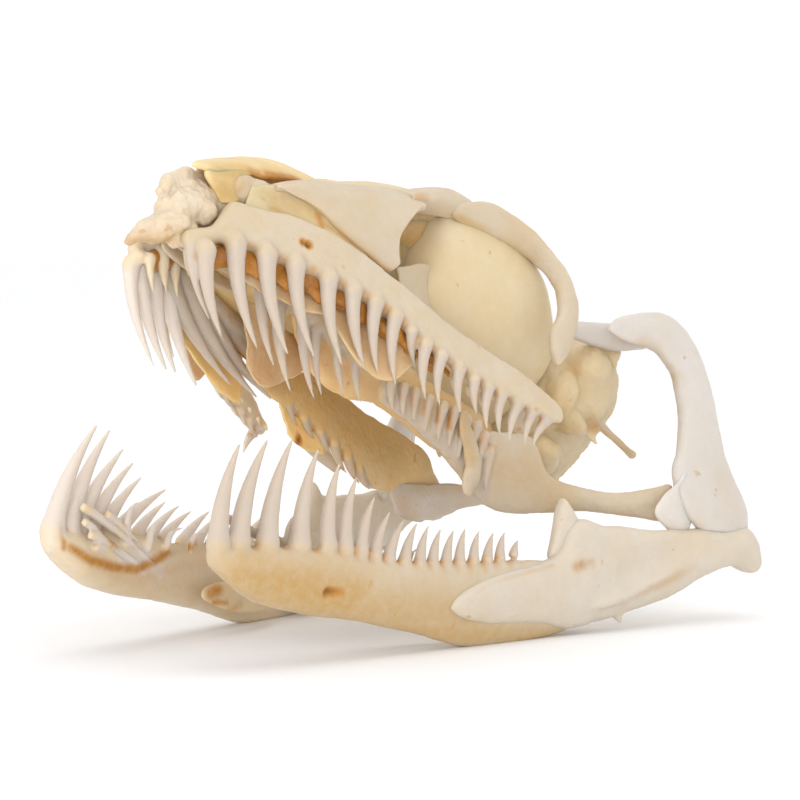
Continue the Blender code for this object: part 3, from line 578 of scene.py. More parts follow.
# Lower jaw edges in jaw measures: y, then x and z of the lower edge, then x and z of the upper, thickness.
TOOTH_BONE_EDGES = (
    (-35.8, 9.6, -11.7, 9.6, -10.6, 0.9), (-34.8, 9.5, -12.5, 9.9, -10.3, 2.4),
    (-33.2, 9.5, -13.7, 10.2, -10.4, 3.0), (-31.0, 9.7, -15.1, 10.5, -10.6, 3.2),
    (-28.0, 10.2, -16.1, 11.0, -10.8, 3.3), (-24.5, 10.8, -16.9, 11.5, -11.2, 3.3),
    (-21.0, 11.5, -17.5, 12.0, -11.8, 3.2), (-18.0, 12.0, -18.2, 12.6, -12.6, 3.0),
    (-14.5, 12.4, -19.0, 13.1, -13.0, 2.8), (-11.0, 12.8, -20.0, 13.6, -13.3, 2.6),
    (-8.0, 13.2, -20.9, 14.0, -13.5, 2.5), (-5.0, 13.6, -21.2, 14.5, -13.6, 2.4),
    (-1.5, 14.1, -21.2, 15.0, -13.7, 2.2), (2.4, 14.7, -21.0, 15.3, -14.1, 1.9),
    (6.4, 15.2, -20.3, 15.5, -15.6, 1.4), (9.2, 15.6, -18.9, 15.7, -17.4, 0.8),
)
COMPOUND_EDGES = (
    (-10.6, 14.5, -17.4, 14.5, -17.0, 0.8), (-9.4, 14.6, -18.1, 14.6, -16.0, 1.3),
    (-7.0, 14.7, -18.8, 14.8, -15.1, 1.6), (-4.0, 14.8, -19.2, 15.1, -14.5, 1.8),
    (-1.0, 15.0, -19.4, 15.3, -14.2, 2.1), (2.0, 15.2, -19.8, 15.5, -13.9, 2.4),
    (3.4, 15.2, -20.2, 15.6, -13.2, 2.7), (4.6, 15.4, -20.4, 15.9, -11.0, 2.9),
    (6.2, 15.6, -20.4, 16.2, -10.4, 3.0), (8.6, 15.9, -20.1, 16.4, -11.1, 3.0),
    (11.8, 16.6, -19.6, 17.0, -11.5, 3.0), (15.0, 17.2, -19.0, 17.6, -12.0, 3.0),
    (18.0, 17.8, -18.3, 18.1, -12.1, 3.1), (21.0, 18.3, -17.0, 18.7, -12.2, 3.5),
    (24.0, 18.7, -16.2, 19.1, -12.4, 4.0), (26.4, 19.0, -16.1, 19.3, -12.2, 4.2),
    (27.7, 19.1, -16.8, 19.4, -12.6, 3.8), (28.8, 19.3, -17.0, 19.4, -14.0, 2.8),
    (29.5, 19.3, -16.6, 19.4, -15.2, 1.5),
)
# The right lower jaw shows its inner face, where the sockets are more stained.
INNER_STAIN = {1: 1.0, -1: 2.2}
# The right hind bone of the lower jaw is tipped up behind.
RIGHT_HIND_SLOPE = 0.10
# Spare teeth lying in the groove on the inner face of each lower jaw: root, tip, girth.
SPARE_LOWER_TEETH = (
    ((8.6, -31.6, -8.6), (9.7, -22.3, -14.1), 0.42), ((8.5, -32.1, -9.6), (8.9, -27.2, -12.7), 0.36),
    ((8.4, -31.3, -10.8), (9.3, -24.7, -13.8), 0.36), ((8.4, -30.8, -11.9), (9.0, -26.8, -13.5), 0.32),
    ((9.0, -28.8, -9.2), (9.5, -24.1, -12.3), 0.38), ((9.6, -26.0, -11.4), (9.4, -24.6, -8.3), 0.42),
    ((10.0, -22.8, -12.2), (9.8, -20.5, -10.2), 0.38), ((10.5, -20.0, -12.7), (10.2, -17.8, -11.2), 0.34),
    ((11.0, -16.4, -13.2), (10.8, -14.2, -11.8), 0.32), ((11.7, -12.8, -13.6), (11.5, -10.6, -12.3), 0.30),
)
INNER_GROOVE = (
    (8.4, -31.0, -12.6), (9.0, -27.6, -14.6), (9.6, -24.0, -15.0), (10.6, -18.6, -14.8), (11.4, -13.8, -14.6),
)
# The stained line under the spare teeth on the inner face.
SPARE_LINE = (
    (8.2, -34.0, -11.6), (8.3, -31.6, -12.9), (8.9, -28.4, -13.8), (9.4, -25.0, -14.3), (9.9, -22.6, -13.9),
    (10.5, -19.6, -13.2), (11.0, -16.6, -13.0), (11.8, -12.0, -13.1), (12.4, -8.0, -13.3),
)
CHIN_HOLE = ((12.3, -24.5, -14.7), (12.4, -22.9, -14.8))


def jaw_blade(table, side, steps, points, slope=0.0):
    low = on_side([(row[1], row[0], row[2] + slope * max(row[0], 0.0)) for row in table], side)
    high = on_side([(row[3], row[0], row[4] + slope * max(row[0], 0.0)) for row in table], side)
    return blade(low, high, [row[5] for row in table], steps, points)


def lower_tooth_places(side):
    places = []
    for x, y, z, length, lean in LOWER_TEETH[side]:
        root = Vector((side * x, y, z))
        swept = math.radians(lean)
        reach = Vector((-side * 0.3, math.sin(swept) * length, math.cos(swept) * length)) * 1.03
        bend = Vector((0.0, -0.07 * length, 0.02 * length))
        places.append((root, root + reach, 0.30 + 0.058 * length, bend))
    return places


def chained(points, radius, amount):
    """One stroke along a run of points."""
    return [(start, end, radius, amount) for start, end in zip(points, points[1:])]


def lower_jaw(side, tag):
    bm = bmesh.new()
    shell(bm, jaw_blade(TOOTH_BONE_EDGES, side, 9, 28))
    teeth = lower_tooth_places(side)
    for root, tip, girth, bend in teeth:
        tooth(bm, root, tip, girth, bend)
    for root, tip, girth in SPARE_LOWER_TEETH:
        root, tip = Vector(root), Vector(tip)
        root.x *= side
        tip.x *= side
        tooth(bm, root, tip, girth, (0.0, -0.5, 0.5), 0.0)
        teeth.append((root, tip, girth, Vector((0.0, -0.5, 0.5))))
    bm = fused_teeth(bm, teeth)
    functional = lower_tooth_places(side)
    stains = between_teeth(functional, -1.0, 0.9, 0.4 * INNER_STAIN[side])
    stains += between_teeth(functional, -0.2, 0.7, 0.3 * INNER_STAIN[side])
    stains += chained(on_side(INNER_GROOVE, side), 1.2, 0.12)
    stains += chained(on_side(SPARE_LINE, side), 0.8, 0.6)
    stains += [(start, end, 0.55, 0.5) for start, end in (
        ((side * 8.5, -34.9, -6.4), (side * 8.5, -34.6, -11.6)), ((side * 8.8, -31.6, -9.4), (side * 8.4, -27.0, -12.8)),
        ((side * 8.9, -25.6, -12.4), (side * 9.4, -17.6, -13.0)), ((side * 9.2, -17.0, -13.4), (side * 10.4, -8.0, -14.0)),
    )]
    hole = on_side(CHIN_HOLE, side)
    stains.append((*hole, 0.85, 2.0))
    dents = [(*hole, 0.8, 0.8)]
    # On the left jaw the tan on the lower outer face and chin is partly staining and partly painted shade where the
    # face turns down; on the right it is a stain along the groove.
    tans_and_shade = [
        ((side * 12.0, -33.5, -13.4), (side * 12.6, -22.0, -15.4), 5.0, 1.0),
        ((side * 12.6, -22.0, -16.4), (side * 13.6, -8.0, -18.0), 4.4, 0.75),
        ((side * 13.4, -17.0, -18.8), (side * 15.0, 4.0, -21.0), 2.4, 0.8),
    ]
    if side < 0:
        tans_and_shade = chained([(-8.6, -31.0, -13.6), (-9.4, -26.0, -15.6), (-10.6, -18.0, -16.4), (-11.8, -10.0, -16.8)], 2.6, 0.3)
    name = "lower_tooth_bone_" + tag
    # The right side takes the lighter copy of the cream bone, painted light for its shaded faces.
    material = CREAM if side > 0 else LIT_FAR_SIDE_BONE
    finish_piece(name, bm, JAW, ["dentary_" + tag], material, dents, stains, tans_and_shade, teeth, 0.06, 0)

    bm = bmesh.new()
    slope = 0.0 if side > 0 else RIGHT_HIND_SLOPE
    shell(bm, jaw_blade(COMPOUND_EDGES, side, 9, 28, slope))
    ridge = [(16.9, 6.5, -18.4, 0.5, 0.5), (17.6, 11.0, -17.6, 0.8, 0.7), (18.4, 16.0, -16.0, 0.8, 0.7),
             (19.4, 21.0, -14.6, 0.7, 0.7), (20.0, 25.0, -14.2, 0.5, 0.5)]
    shell(bm, bar([(side * x, y, z + slope * y, wide, high) for x, y, z, wide, high in ridge]))
    spur = [(16.6, 11.0, -19.2, 0.5, 0.5), (16.8, 11.2, -20.0, 0.4, 0.35), (16.9, 11.4, -20.4, 0.2, 0.2)]
    shell(bm, bar([(side * x, y, z + slope * y, wide, high) for x, y, z, wide, high in spur]))
    bm = melted(bm, 0.2)
    smoothed(bm, bm.verts, 8)
    stains = [
        ((side * 17.0, 4.4, -14.6), (side * 17.0, 6.2, -14.4), 0.9, 0.34),
        ((side * 15.6, -10.6, -16.9), (side * 15.8, -6.0, -15.2), 0.5, 0.3),
        ((side * 15.8, -6.0, -15.2), (side * 16.4, 2.0, -14.2), 0.5, 0.3),
        ((side * 15.6, -10.4, -17.6), (side * 15.9, -5.0, -19.2), 0.5, 0.3),
        ((side * 18.5, 9.5, -19.0), (side * 19.2, 19.5, -15.4), 0.8, 0.22),
        ((side * 21.0, 28.2, -13.4), (side * 21.0, 28.8, -13.9), 1.0, 0.3),
        ((side * 20.6, 20.5, -11.9), (side * 20.6, 22.5, -11.7), 0.9, 0.3),
    ]
    dents = [
        ((side * 17.0, 5.2, -14.5), (side * 17.0, 6.0, -14.5), 0.7, 0.45),
        ((side * 18.3, 11.0, -15.4), (side * 18.8, 19.0, -13.4), 2.0, 0.4),
    ]
    finish_piece("lower_hind_bone_" + tag, bm, JAW, ["compound_" + tag], CLEAN, dents, stains, (), (), 0.08, 0)

    bm = bmesh.new()
    low = on_side([(14.9, 2.9, -13.9), (15.2, 3.6, -14.6), (15.4, 4.3, -15.0), (15.6, 5.0, -15.2), (15.8, 5.9, -14.8),
                   (16.0, 6.8, -13.4)], side)
    high = on_side([(14.9, 3.0, -13.2), (15.1, 3.7, -10.8), (15.1, 4.3, -9.1), (15.1, 4.9, -8.5), (15.4, 5.9, -9.9),
                    (15.8, 6.8, -12.0)], side)
    shell(bm, blade(low, high, [0.9, 1.4, 1.8, 2.2, 2.2, 1.2]))
    finish_piece("coronoid_spike_" + tag, bm, JAW, ["coronoid_" + tag], CLEAN, uneven=0.08)

    bm = bmesh.new()
    low = on_side([(9.4, -16.8, -17.6), (9.4, -14.4, -18.6), (9.6, -12.0, -19.3), (10.0, -9.0, -19.6),
                   (10.8, -6.6, -19.6), (11.6, -5.4, -19.4)], side)
    high = on_side([(9.6, -16.2, -16.6), (9.6, -14.0, -16.3), (9.8, -12.0, -16.6), (10.2, -9.2, -17.6),
                    (10.9, -7.0, -18.6), (11.6, -5.4, -19.2)], side)
    shell(bm, blade(low, high, [0.5, 0.7, 0.8, 0.8, 0.7, 0.5]))
    stains = [((side * 9.4, -15.6, -17.2), (side * 9.4, -14.6, -17.0), 1.1, 0.6),
              ((side * 9.4, -15.4, -18.0), (side * 9.4, -13.6, -18.2), 0.5, 0.9),
              ((side * 9.6, -13.0, -18.9), (side * 9.6, -11.6, -18.6), 0.7, 0.4)]
    finish_piece("splenial_plate_" + tag, bm, JAW, ["splenial_" + tag], YELLOW, (), stains)

    bm = bmesh.new()
    low = on_side([(12.5, -1.9, -19.8), (12.8, 1.5, -20.4), (13.2, 5.5, -20.4), (14.0, 9.5, -19.9)], side)
    high = on_side([(12.6, -1.9, -15.4), (12.8, 1.5, -15.9), (13.2, 5.5, -17.2), (14.0, 9.5, -19.0)], side)
    shell(bm, blade(low, high, [0.5, 0.8, 0.7, 0.4]))
    finish_piece("angular_plate_" + tag, bm, JAW, ["angular_" + tag], YELLOW)


SNOUT_LIP = (
    (-1.8, -2.2, -1.9, 0.35, 0.35), (-1.0, -2.05, -1.2, 0.6, 0.6), (-0.3, -1.6, -0.5, 0.9, 1.1), (0.5, -1.2, 0.1, 1.1, 1.4),
    (1.2, -0.9, 0.4, 1.1, 1.4), (2.0, -0.4, 0.8, 0.9, 1.2), (2.6, 0.1, 1.2, 0.5, 0.6),
)
# Lumps of dried snout skin: middle, then half widths.
SNOUT_LUMPS = (
    (0.6, -1.0, 2.2, 1.0, 1.0, 1.3), (1.0, -0.2, 1.2, 1.2, 1.1, 1.6), (1.6, 0.3, -0.1, 0.9, 0.9, 1.1),
    (0.4, -0.9, 3.7, 0.8, 0.9, 1.2), (0.4, -1.2, 1.4, 0.7, 0.6, 0.7), (0.9, 0.6, 3.2, 1.0, 1.1, 1.2),
    (1.6, 0.9, 2.0, 0.9, 0.9, 1.2), (2.2, 0.8, 0.6, 0.7, 0.7, 0.9), (0.2, 0.6, 0.8, 1.6, 1.4, 1.0),
    (0.5, -2.1, 3.0, 0.4, 0.35, 0.4), (0.3, -1.5, 4.6, 0.5, 0.5, 0.7), (2.4, 0.9, -0.9, 0.4, 0.4, 0.6),
    (1.4, 0.4, 4.4, 0.9, 1.1, 1.2), (1.6, 1.5, 5.2, 0.8, 1.1, 0.9), (1.5, -0.5, 2.8, 0.9, 0.9, 1.2),
    (1.9, 1.7, 4.3, 0.9, 1.3, 1.3), (1.8, 2.6, 5.6, 0.8, 1.0, 0.8), (2.4, 1.9, 3.0, 0.9, 1.0, 1.1),
)
SNOUT_FLAP_LOW = (
    (0.6, -2.0, 2.6), (0.7, -1.0, 3.4), (0.9, 0.2, 4.4), (1.1, 1.4, 5.4), (1.2, 2.4, 6.2), (1.2, 3.0, 6.8),
)
SNOUT_FLAP_HIGH = (
    (0.6, -2.3, 4.2), (0.7, -1.5, 5.6), (0.9, -0.2, 6.5), (1.1, 0.7, 6.5), (1.2, 1.7, 7.3), (1.2, 2.6, 7.5),
)
SNOUT_LOBE = (
    (2.0, -0.8, 1.2, 0.6, 1.0), (2.1, 0.2, 2.5, 0.6, 1.2), (2.2, 1.3, 3.8, 0.5, 1.2), (2.4, 2.3, 5.0, 0.45, 0.9),
    (2.6, 2.9, 5.6, 0.4, 0.5),
)


def snout():
    bm = bmesh.new()
    shell(bm, bar(SNOUT_LIP))
    lumps(bm, SNOUT_LUMPS)
    shell(bm, blade(SNOUT_FLAP_LOW, SNOUT_FLAP_HIGH, [0.9, 1.2, 1.2, 1.1, 0.9, 0.5]))
    shell(bm, bar(SNOUT_LOBE))
    bm = melted(bm, 0.14)
    smoothed(bm, bm.verts, 5)
    stains = [((-1.4, -2.6, -2.0), (1.6, -0.6, -1.0), 0.7, 0.2), ((0.9, 0.2, 0.6), (1.6, 0.6, 1.2), 0.9, 0.14)]
    tans_and_shade = [((-1.6, -2.4, -1.6), (2.4, -0.4, -0.6), 1.4, 0.5), ((1.2, -0.6, 0.4), (2.2, 0.6, 1.4), 1.6, 0.35)]
    finish_piece("snout_tip_bone", bm, HEAD, ["premaxilla"], TISSUE, (), stains, tans_and_shade, (), 0.22, 0)


def snout_side(side, tag):
    ridge = [(0.4, 1.2, 7.8), (0.4, 4.6, 10.1), (0.4, 8.4, 12.4), (0.4, 12.0, 13.7), (0.6, 15.6, 14.4)]
    crest = [(1.7, -0.2, 6.7), (1.8, 4.0, 9.3), (1.8, 7.8, 11.3), (1.8, 11.4, 12.7), (1.6, 15.3, 13.8)]
    brow = [(2.6, -1.3, 5.8), (2.9, 3.6, 8.7), (2.9, 7.0, 10.3), (2.9, 10.6, 11.7), (2.6, 14.6, 13.0)]
    edge = [(3.3, 0.6, 6.2), (3.7, 3.8, 7.8), (3.9, 6.3, 8.8), (3.8, 9.4, 10.3), (3.3, 13.4, 12.0)]
    if side < 0:
        ridge[0], crest[0], brow[0], edge[0] = (0.4, 2.4, 8.6), (1.7, 3.6, 9.0), (2.8, 4.6, 9.1), (3.7, 5.6, 8.4)
        ridge[1], crest[1], brow[1], edge[1] = (0.4, 5.0, 10.3), (1.8, 5.6, 10.2), (2.9, 6.4, 9.9), (3.9, 7.4, 9.2)
    bm = bmesh.new()
    sheet(bm, [on_side(row, side) for row in (ridge, crest, brow, edge)])
    if side > 0:
        wall = ([(3.0, 0.0, 6.3), (3.35, 1.7, 7.1), (3.6, 3.2, 7.8), (3.75, 4.6, 8.4)],
                [(2.9, 0.2, 5.6), (3.1, 1.6, 6.1), (3.3, 3.0, 6.7), (3.5, 4.4, 7.6)],
                [(2.9, 1.6, 5.0), (3.1, 2.6, 5.3), (3.3, 3.4, 5.8), (3.4, 4.4, 6.8)],
                [(2.9, 2.8, 4.4), (3.1, 3.2, 4.5), (3.3, 3.9, 4.9), (3.4, 4.6, 5.8)])
        sheet(bm, wall, 4)
    stains = [
        ((side * 3.9, 6.4, 9.2), (side * 3.8, 10.6, 11.0), 0.9, 0.75), ((side * 3.8, 4.6, 8.4), (side * 3.9, 5.4, 8.7), 0.9, 0.5),
        ((side * 3.6, 12.6, 12.0), (side * 3.4, 13.6, 12.4), 0.8, 0.35),
    ]
    # The tan strokes on the nasal's inner wall and lower edge are painted shade.
    tans_and_shade = [
        ((side * 3.4, 1.4, 6.6), (side * 3.9, 5.0, 8.4), 1.8, 0.6), ((side * 3.0, 2.0, 5.4), (side * 3.2, 4.4, 6.0), 1.8, 0.75),
        ((side * 3.4, 6.4, 10.0), (side * 3.4, 10.6, 11.8), 1.2, 0.4), ((side * 1.6, 3.0, 9.4), (side * 2.6, 8.0, 11.8), 1.6, 0.2),
    ]
    name = "nasal_plate_" + tag
    finish_piece(name, bm, HEAD, ["nasal_" + tag], GOLD, (), stains, tans_and_shade, uneven=0.08, wall=0.5)

    lobes = ((3.5, 4.8, 6.7, 0.8, 1.7, 1.4), (3.9, 6.3, 6.9, 0.9, 1.7, 1.4), (3.3, 7.0, 6.8, 0.8, 1.2, 1.2),
             (3.1, 5.6, 5.9, 0.8, 1.6, 0.8), (2.9, 4.0, 6.3, 0.6, 1.0, 1.2), (2.2, 4.6, 4.9, 1.1, 2.6, 1.4),
             (3.2, 6.4, 7.7, 0.8, 1.8, 0.9), (3.4, 7.8, 7.9, 0.8, 1.4, 1.1), (3.6, 8.8, 8.6, 0.6, 1.2, 1.0))
    bm = bmesh.new()
    lumps(bm, [(side * row[0], *row[1:]) for row in lobes])
    bm = melted(bm, 0.16)
    smoothed(bm, bm.verts, 8)
    stains = [((side * 3.8, 3.4, 5.6), (side * 3.8, 3.8, 6.6), 0.5, 0.2)]
    tans_and_shade = [((side * 3.4, 3.4, 6.0), (side * 3.4, 4.4, 7.4), 1.4, 0.5), ((side * 3.9, 5.2, 4.9), (side * 3.9, 8.0, 6.0), 1.0, 0.5)]
    name = "nostril_floor_" + tag
    finish_piece(name, bm, HEAD, ["septomaxilla_" + tag], CREAM, (), stains, tans_and_shade, (), 0.1, 0)
    cheek = ([(4.2, 4.6, 6.8), (5.2, 6.6, 7.9), (5.9, 9.0, 8.1), (6.7, 11.0, 7.8), (7.5, 12.8, 7.0), (8.4, 15.8, 6.3)],
             [(4.1, 4.6, 5.6), (5.2, 6.8, 6.5), (6.0, 8.9, 6.6), (6.9, 11.0, 6.5), (7.9, 13.2, 6.0), (8.8, 16.2, 5.6)],
             [(4.0, 4.6, 4.0), (5.3, 7.2, 4.6), (6.3, 9.0, 4.8), (7.2, 11.2, 4.8), (8.3, 13.8, 4.6), (9.2, 16.6, 4.2)])
    bm = bmesh.new()
    sheet(bm, [on_side(row, side) for row in cheek], 6)
    stains = [((side * 6.8, 10.8, 7.2), (side * 7.0, 11.3, 6.2), 0.6, 0.5), ((side * 5.2, 6.6, 5.8), (side * 7.0, 10.6, 5.8), 0.6, 0.35),
              ((side * 7.2, 11.6, 6.6), (side * 8.6, 15.6, 5.8), 0.5, 0.3)]
    tans_and_shade = [((side * 5.0, 6.0, 6.8), (side * 6.6, 10.6, 7.0), 1.6, 0.6), ((side * 7.2, 12.0, 6.6), (side * 8.4, 15.6, 6.0), 1.2, 0.3)]
    name = "snout_wall_skin_" + tag
    finish_piece(name, bm, HEAD, [], YELLOW, (), stains, tans_and_shade, (), 0.1, 0, 0.2)

    low = on_side([(0.7, 1.0, -0.6), (1.2, 4.0, -0.4), (1.6, 8.0, 0.2), (1.3, 12.0, 0.9)], side)
    high = on_side([(0.9, 1.0, 0.9), (1.6, 4.0, 1.9), (2.4, 8.0, 2.5), (1.9, 12.0, 1.9)], side)
    bm = bmesh.new()
    shell(bm, blade(low, high, [0.5, 0.8, 0.8, 0.4]))
    finish_piece("vomer_plate_" + tag, bm, HEAD, ["vomer_" + tag], CREAM)


def orbit_side(side, tag):
    top = [(4.6, 6.4, 7.7), (4.7, 8.8, 9.5), (4.8, 12.0, 11.3), (5.0, 15.2, 12.8), (5.5, 18.4, 14.4),
           (6.6, 21.0, 15.2), (8.8, 22.2, 14.2)]
    shoulder = [(5.2, 6.4, 7.7), (6.0, 9.0, 9.1), (6.6, 12.0, 10.2), (7.2, 14.8, 11.3), (7.9, 17.6, 12.3),
                (8.5, 19.5, 12.7), (9.0, 20.8, 12.8)]
    flank = [(5.4, 6.4, 7.6), (6.2, 9.0, 8.4), (7.0, 11.3, 8.5), (7.8, 13.8, 8.5), (8.6, 16.6, 8.7),
             (8.9, 18.2, 8.9), (9.0, 19.2, 9.6)]
    foot = [(5.5, 6.4, 7.5), (6.1, 8.9, 7.8), (6.9, 10.9, 7.5), (7.7, 12.6, 6.7), (8.6, 15.8, 6.0),
            (9.1, 18.6, 5.6), (9.3, 19.8, 6.9)]
    bm = bmesh.new()
    sheet(bm, [on_side(row, side) for row in (top, shoulder, flank, foot)], 6)
    tans_and_shade = [((side * 6.3, 9.1, 7.2), (side * 9.2, 18.6, 5.4), 1.0, 0.6), ((side * 6.8, 20.4, 15.0), (side * 7.8, 21.4, 14.6), 1.0, 0.4)]
    stains = [((side * 6.9, 11.6, 6.7), (side * 8.0, 15.0, 5.8), 0.5, 0.35), ((side * 8.0, 15.0, 5.8), (side * 9.2, 20.0, 5.2), 0.6, 0.6)]
    name = "prefrontal_plate_" + tag
    finish_piece(name, bm, HEAD, ["prefrontal_" + tag], CREAM, (), stains, tans_and_shade, uneven=0.1, wall=0.7)

    stations = (
        (2.6, 13.2, 11.9, 2.1, 1.1), (2.8, 16.5, 12.4, 2.3, 1.9), (2.8, 20.0, 13.5, 2.4, 2.7),
        (2.9, 24.0, 14.8, 2.6, 3.3), (3.3, 27.4, 15.6, 3.0, 3.6),
    )
    bm = bmesh.new()
    shell(bm, bar(on_side(stations, side), points=24))
    wall = (
        [(5.6, 20.0, 13.6), (6.0, 23.0, 15.2), (6.6, 26.0, 16.4), (7.4, 28.6, 17.0)],
        [(4.8, 21.0, 12.0), (4.8, 24.0, 13.4), (5.2, 27.0, 14.8), (6.6, 29.2, 15.6)],
        [(4.6, 22.0, 9.6), (4.6, 25.0, 10.4), (4.9, 27.4, 11.6), (6.0, 29.4, 13.0)],
        [(4.8, 22.4, 6.4), (5.2, 25.0, 6.6), (5.6, 27.4, 6.8), (6.2, 29.6, 8.0)],
    )
    outline = [[side * x, y, z] for row in wall for x, y, z in row]
    body = bmesh.new()
    sheet(body, [outline[i:i + 4] for i in range(0, len(outline), 4)])
    bmesh.ops.solidify(body, geom=body.faces, thickness=0.4)
    thickened = bpy.data.meshes.new("orbit wall")
    body.to_mesh(thickened)
    body.free()
    bm.from_mesh(thickened)
    bpy.data.meshes.remove(thickened)
    # The tan over the whole orbit wall is painted shade of the recess under the brow.
    tans_and_shade = [((side * 4.9, 21.0, 11.0), (side * 5.4, 28.4, 13.6), 5.0, 1.0)]
    stains = [((side * 5.0, 22.0, 12.4), (side * 6.0, 28.8, 16.0), 2.4, 0.18)]
    name = "frontal_bone_" + tag
    finish_piece(name, bm, HEAD, ["frontal_" + tag], YELLOW, (), stains, tans_and_shade)

    foot = ([(7.9, 21.2, 7.6), (7.6, 23.0, 8.8), (7.2, 25.0, 10.2), (6.9, 27.4, 11.2)],
            [(7.9, 21.8, 6.8), (7.6, 23.6, 7.6), (7.2, 25.8, 8.4), (6.9, 28.0, 9.4)],
            [(7.9, 22.6, 5.6), (7.7, 24.4, 5.6), (7.3, 26.8, 5.8), (7.2, 28.6, 6.6)])
    bm = bmesh.new()
    sheet(bm, [on_side(row, side) for row in foot])
    finish_piece("orbit_floor_plate_" + tag, bm, HEAD, [], CREAM, uneven=0.08, subdivide=0, wall=0.3)

    inner = [(2.6, 20.4, 15.0), (3.0, 23.6, 17.2), (3.2, 26.8, 18.8), (3.2, 29.4, 19.6), (3.4, 31.6, 19.8)]
    crest = [(6.0, 21.4, 15.4), (6.6, 23.2, 16.8), (6.8, 25.4, 18.2), (7.0, 27.4, 19.0), (7.2, 29.6, 19.2)]
    rim = [(8.1, 20.8, 14.4), (8.3, 22.9, 15.7), (8.3, 25.0, 16.7), (8.4, 26.8, 17.2), (8.8, 28.6, 17.4)]
    under = [(6.8, 21.2, 13.6), (6.8, 23.4, 14.6), (7.0, 25.6, 15.6), (7.4, 27.6, 16.2), (8.0, 29.4, 16.6)]
    bm = bmesh.new()
    sheet(bm, [on_side(row, side) for row in (inner, crest, rim, under)])
    # The tan along the brow's underside is painted shade.
    tans_and_shade = [((side * 7.0, 21.4, 13.8), (side * 7.6, 28.0, 16.2), 1.2, 0.5)]
    stains = [((side * 8.2, 21.0, 14.6), (side * 8.0, 22.4, 15.4), 0.6, 0.3)]
    name = "brow_plate_" + tag
    finish_piece(name, bm, HEAD, ["supraorbital_" + tag], CREAM, (), stains, tans_and_shade, wall=0.5)

    arch_in = [
        (7.9, 26.6, 15.9), (8.4, 29.0, 15.9), (9.0, 32.2, 16.3), (9.5, 35.0, 16.6), (10.3, 37.2, 16.5),
        (11.7, 38.2, 15.0), (13.2, 38.0, 13.0), (13.8, 37.8, 11.1), (13.9, 37.1, 9.2), (14.0, 37.6, 7.4), (14.0, 38.6, 6.4),
    ]
    arch_out = [
        (8.4, 26.4, 17.2), (9.2, 29.4, 18.9), (10.1, 31.9, 19.2), (11.2, 34.3, 18.7), (12.3, 36.9, 17.4),
        (13.1, 39.1, 15.9), (13.8, 40.0, 13.6), (14.0, 40.3, 11.8), (14.1, 40.2, 9.8), (14.1, 39.8, 7.8), (14.1, 39.0, 6.4),
    ]
    thick = [0.8, 1.1, 1.3, 1.3, 1.3, 1.4, 1.4, 1.4, 1.3, 1.1, 0.7]
    bm = bmesh.new()
    shell(bm, blade(on_side(arch_in, side), on_side(arch_out, side), thick, 8))
    tans_and_shade = [((side * 8.5, 27.0, 16.0), (side * 9.2, 31.0, 16.2), 0.9, 0.8), ((side * 9.4, 32.0, 16.4), (side * 10.4, 37.0, 16.6), 0.9, 0.5)]
    name = "hind_orbit_arch_" + tag
    finish_piece(name, bm, HEAD, ["postorbital_" + tag], CREAM, (), (), tans_and_shade, uneven=0.1)


def vault_section(y, roof, width, side_top, side_low, floor, keel):
    """An outline across the braincase, from the roof round to the keel and back."""
    half = [
        (0.0, roof), (0.55 * width, roof - 0.4), (0.92 * width, side_top), (width, (side_top + side_low) / 2),
        (0.86 * width, side_low), (0.4 * width, floor),
    ]
    left = [(x, y, z) for x, z in half]
    right = [(-x, y, z) for x, z in reversed(half[1:])]
    return left + [(0.0, y, keel)] + right


def vault_rings(sections, steps=6, around=4):
    flat = smooth_run([[value for point in section for value in point] for section in sections], steps)
    rings = []
    for row in flat:
        points = [row[i:i + 3] for i in range(0, len(row), 3)]
        looped = smooth_run(points[-2:] + points + points[:2], around)
        rings.append([Vector(p) for p in looped[2 * around:][:len(points) * around]])
    return rounded(rings, 4)


EAR_LUMPS = (
    (9.6, 49.6, 12.2, 1.9, 2.4, 2.2), (9.0, 51.8, 9.6, 1.6, 1.8, 1.8), (8.8, 47.2, 8.4, 1.6, 1.6, 2.6),
    (8.6, 50.0, 6.6, 1.3, 2.0, 1.2), (9.2, 53.2, 12.6, 1.3, 1.3, 1.6), (8.9, 53.4, 7.6, 0.7, 0.8, 0.8),
    (6.4, 48.8, 3.2, 2.2, 2.4, 1.5), (5.0, 50.8, 3.6, 2.0, 2.2, 1.6), (9.4, 52.2, 15.2, 1.2, 1.5, 1.6),
    (8.6, 53.2, 14.2, 1.2, 1.4, 2.0),
)


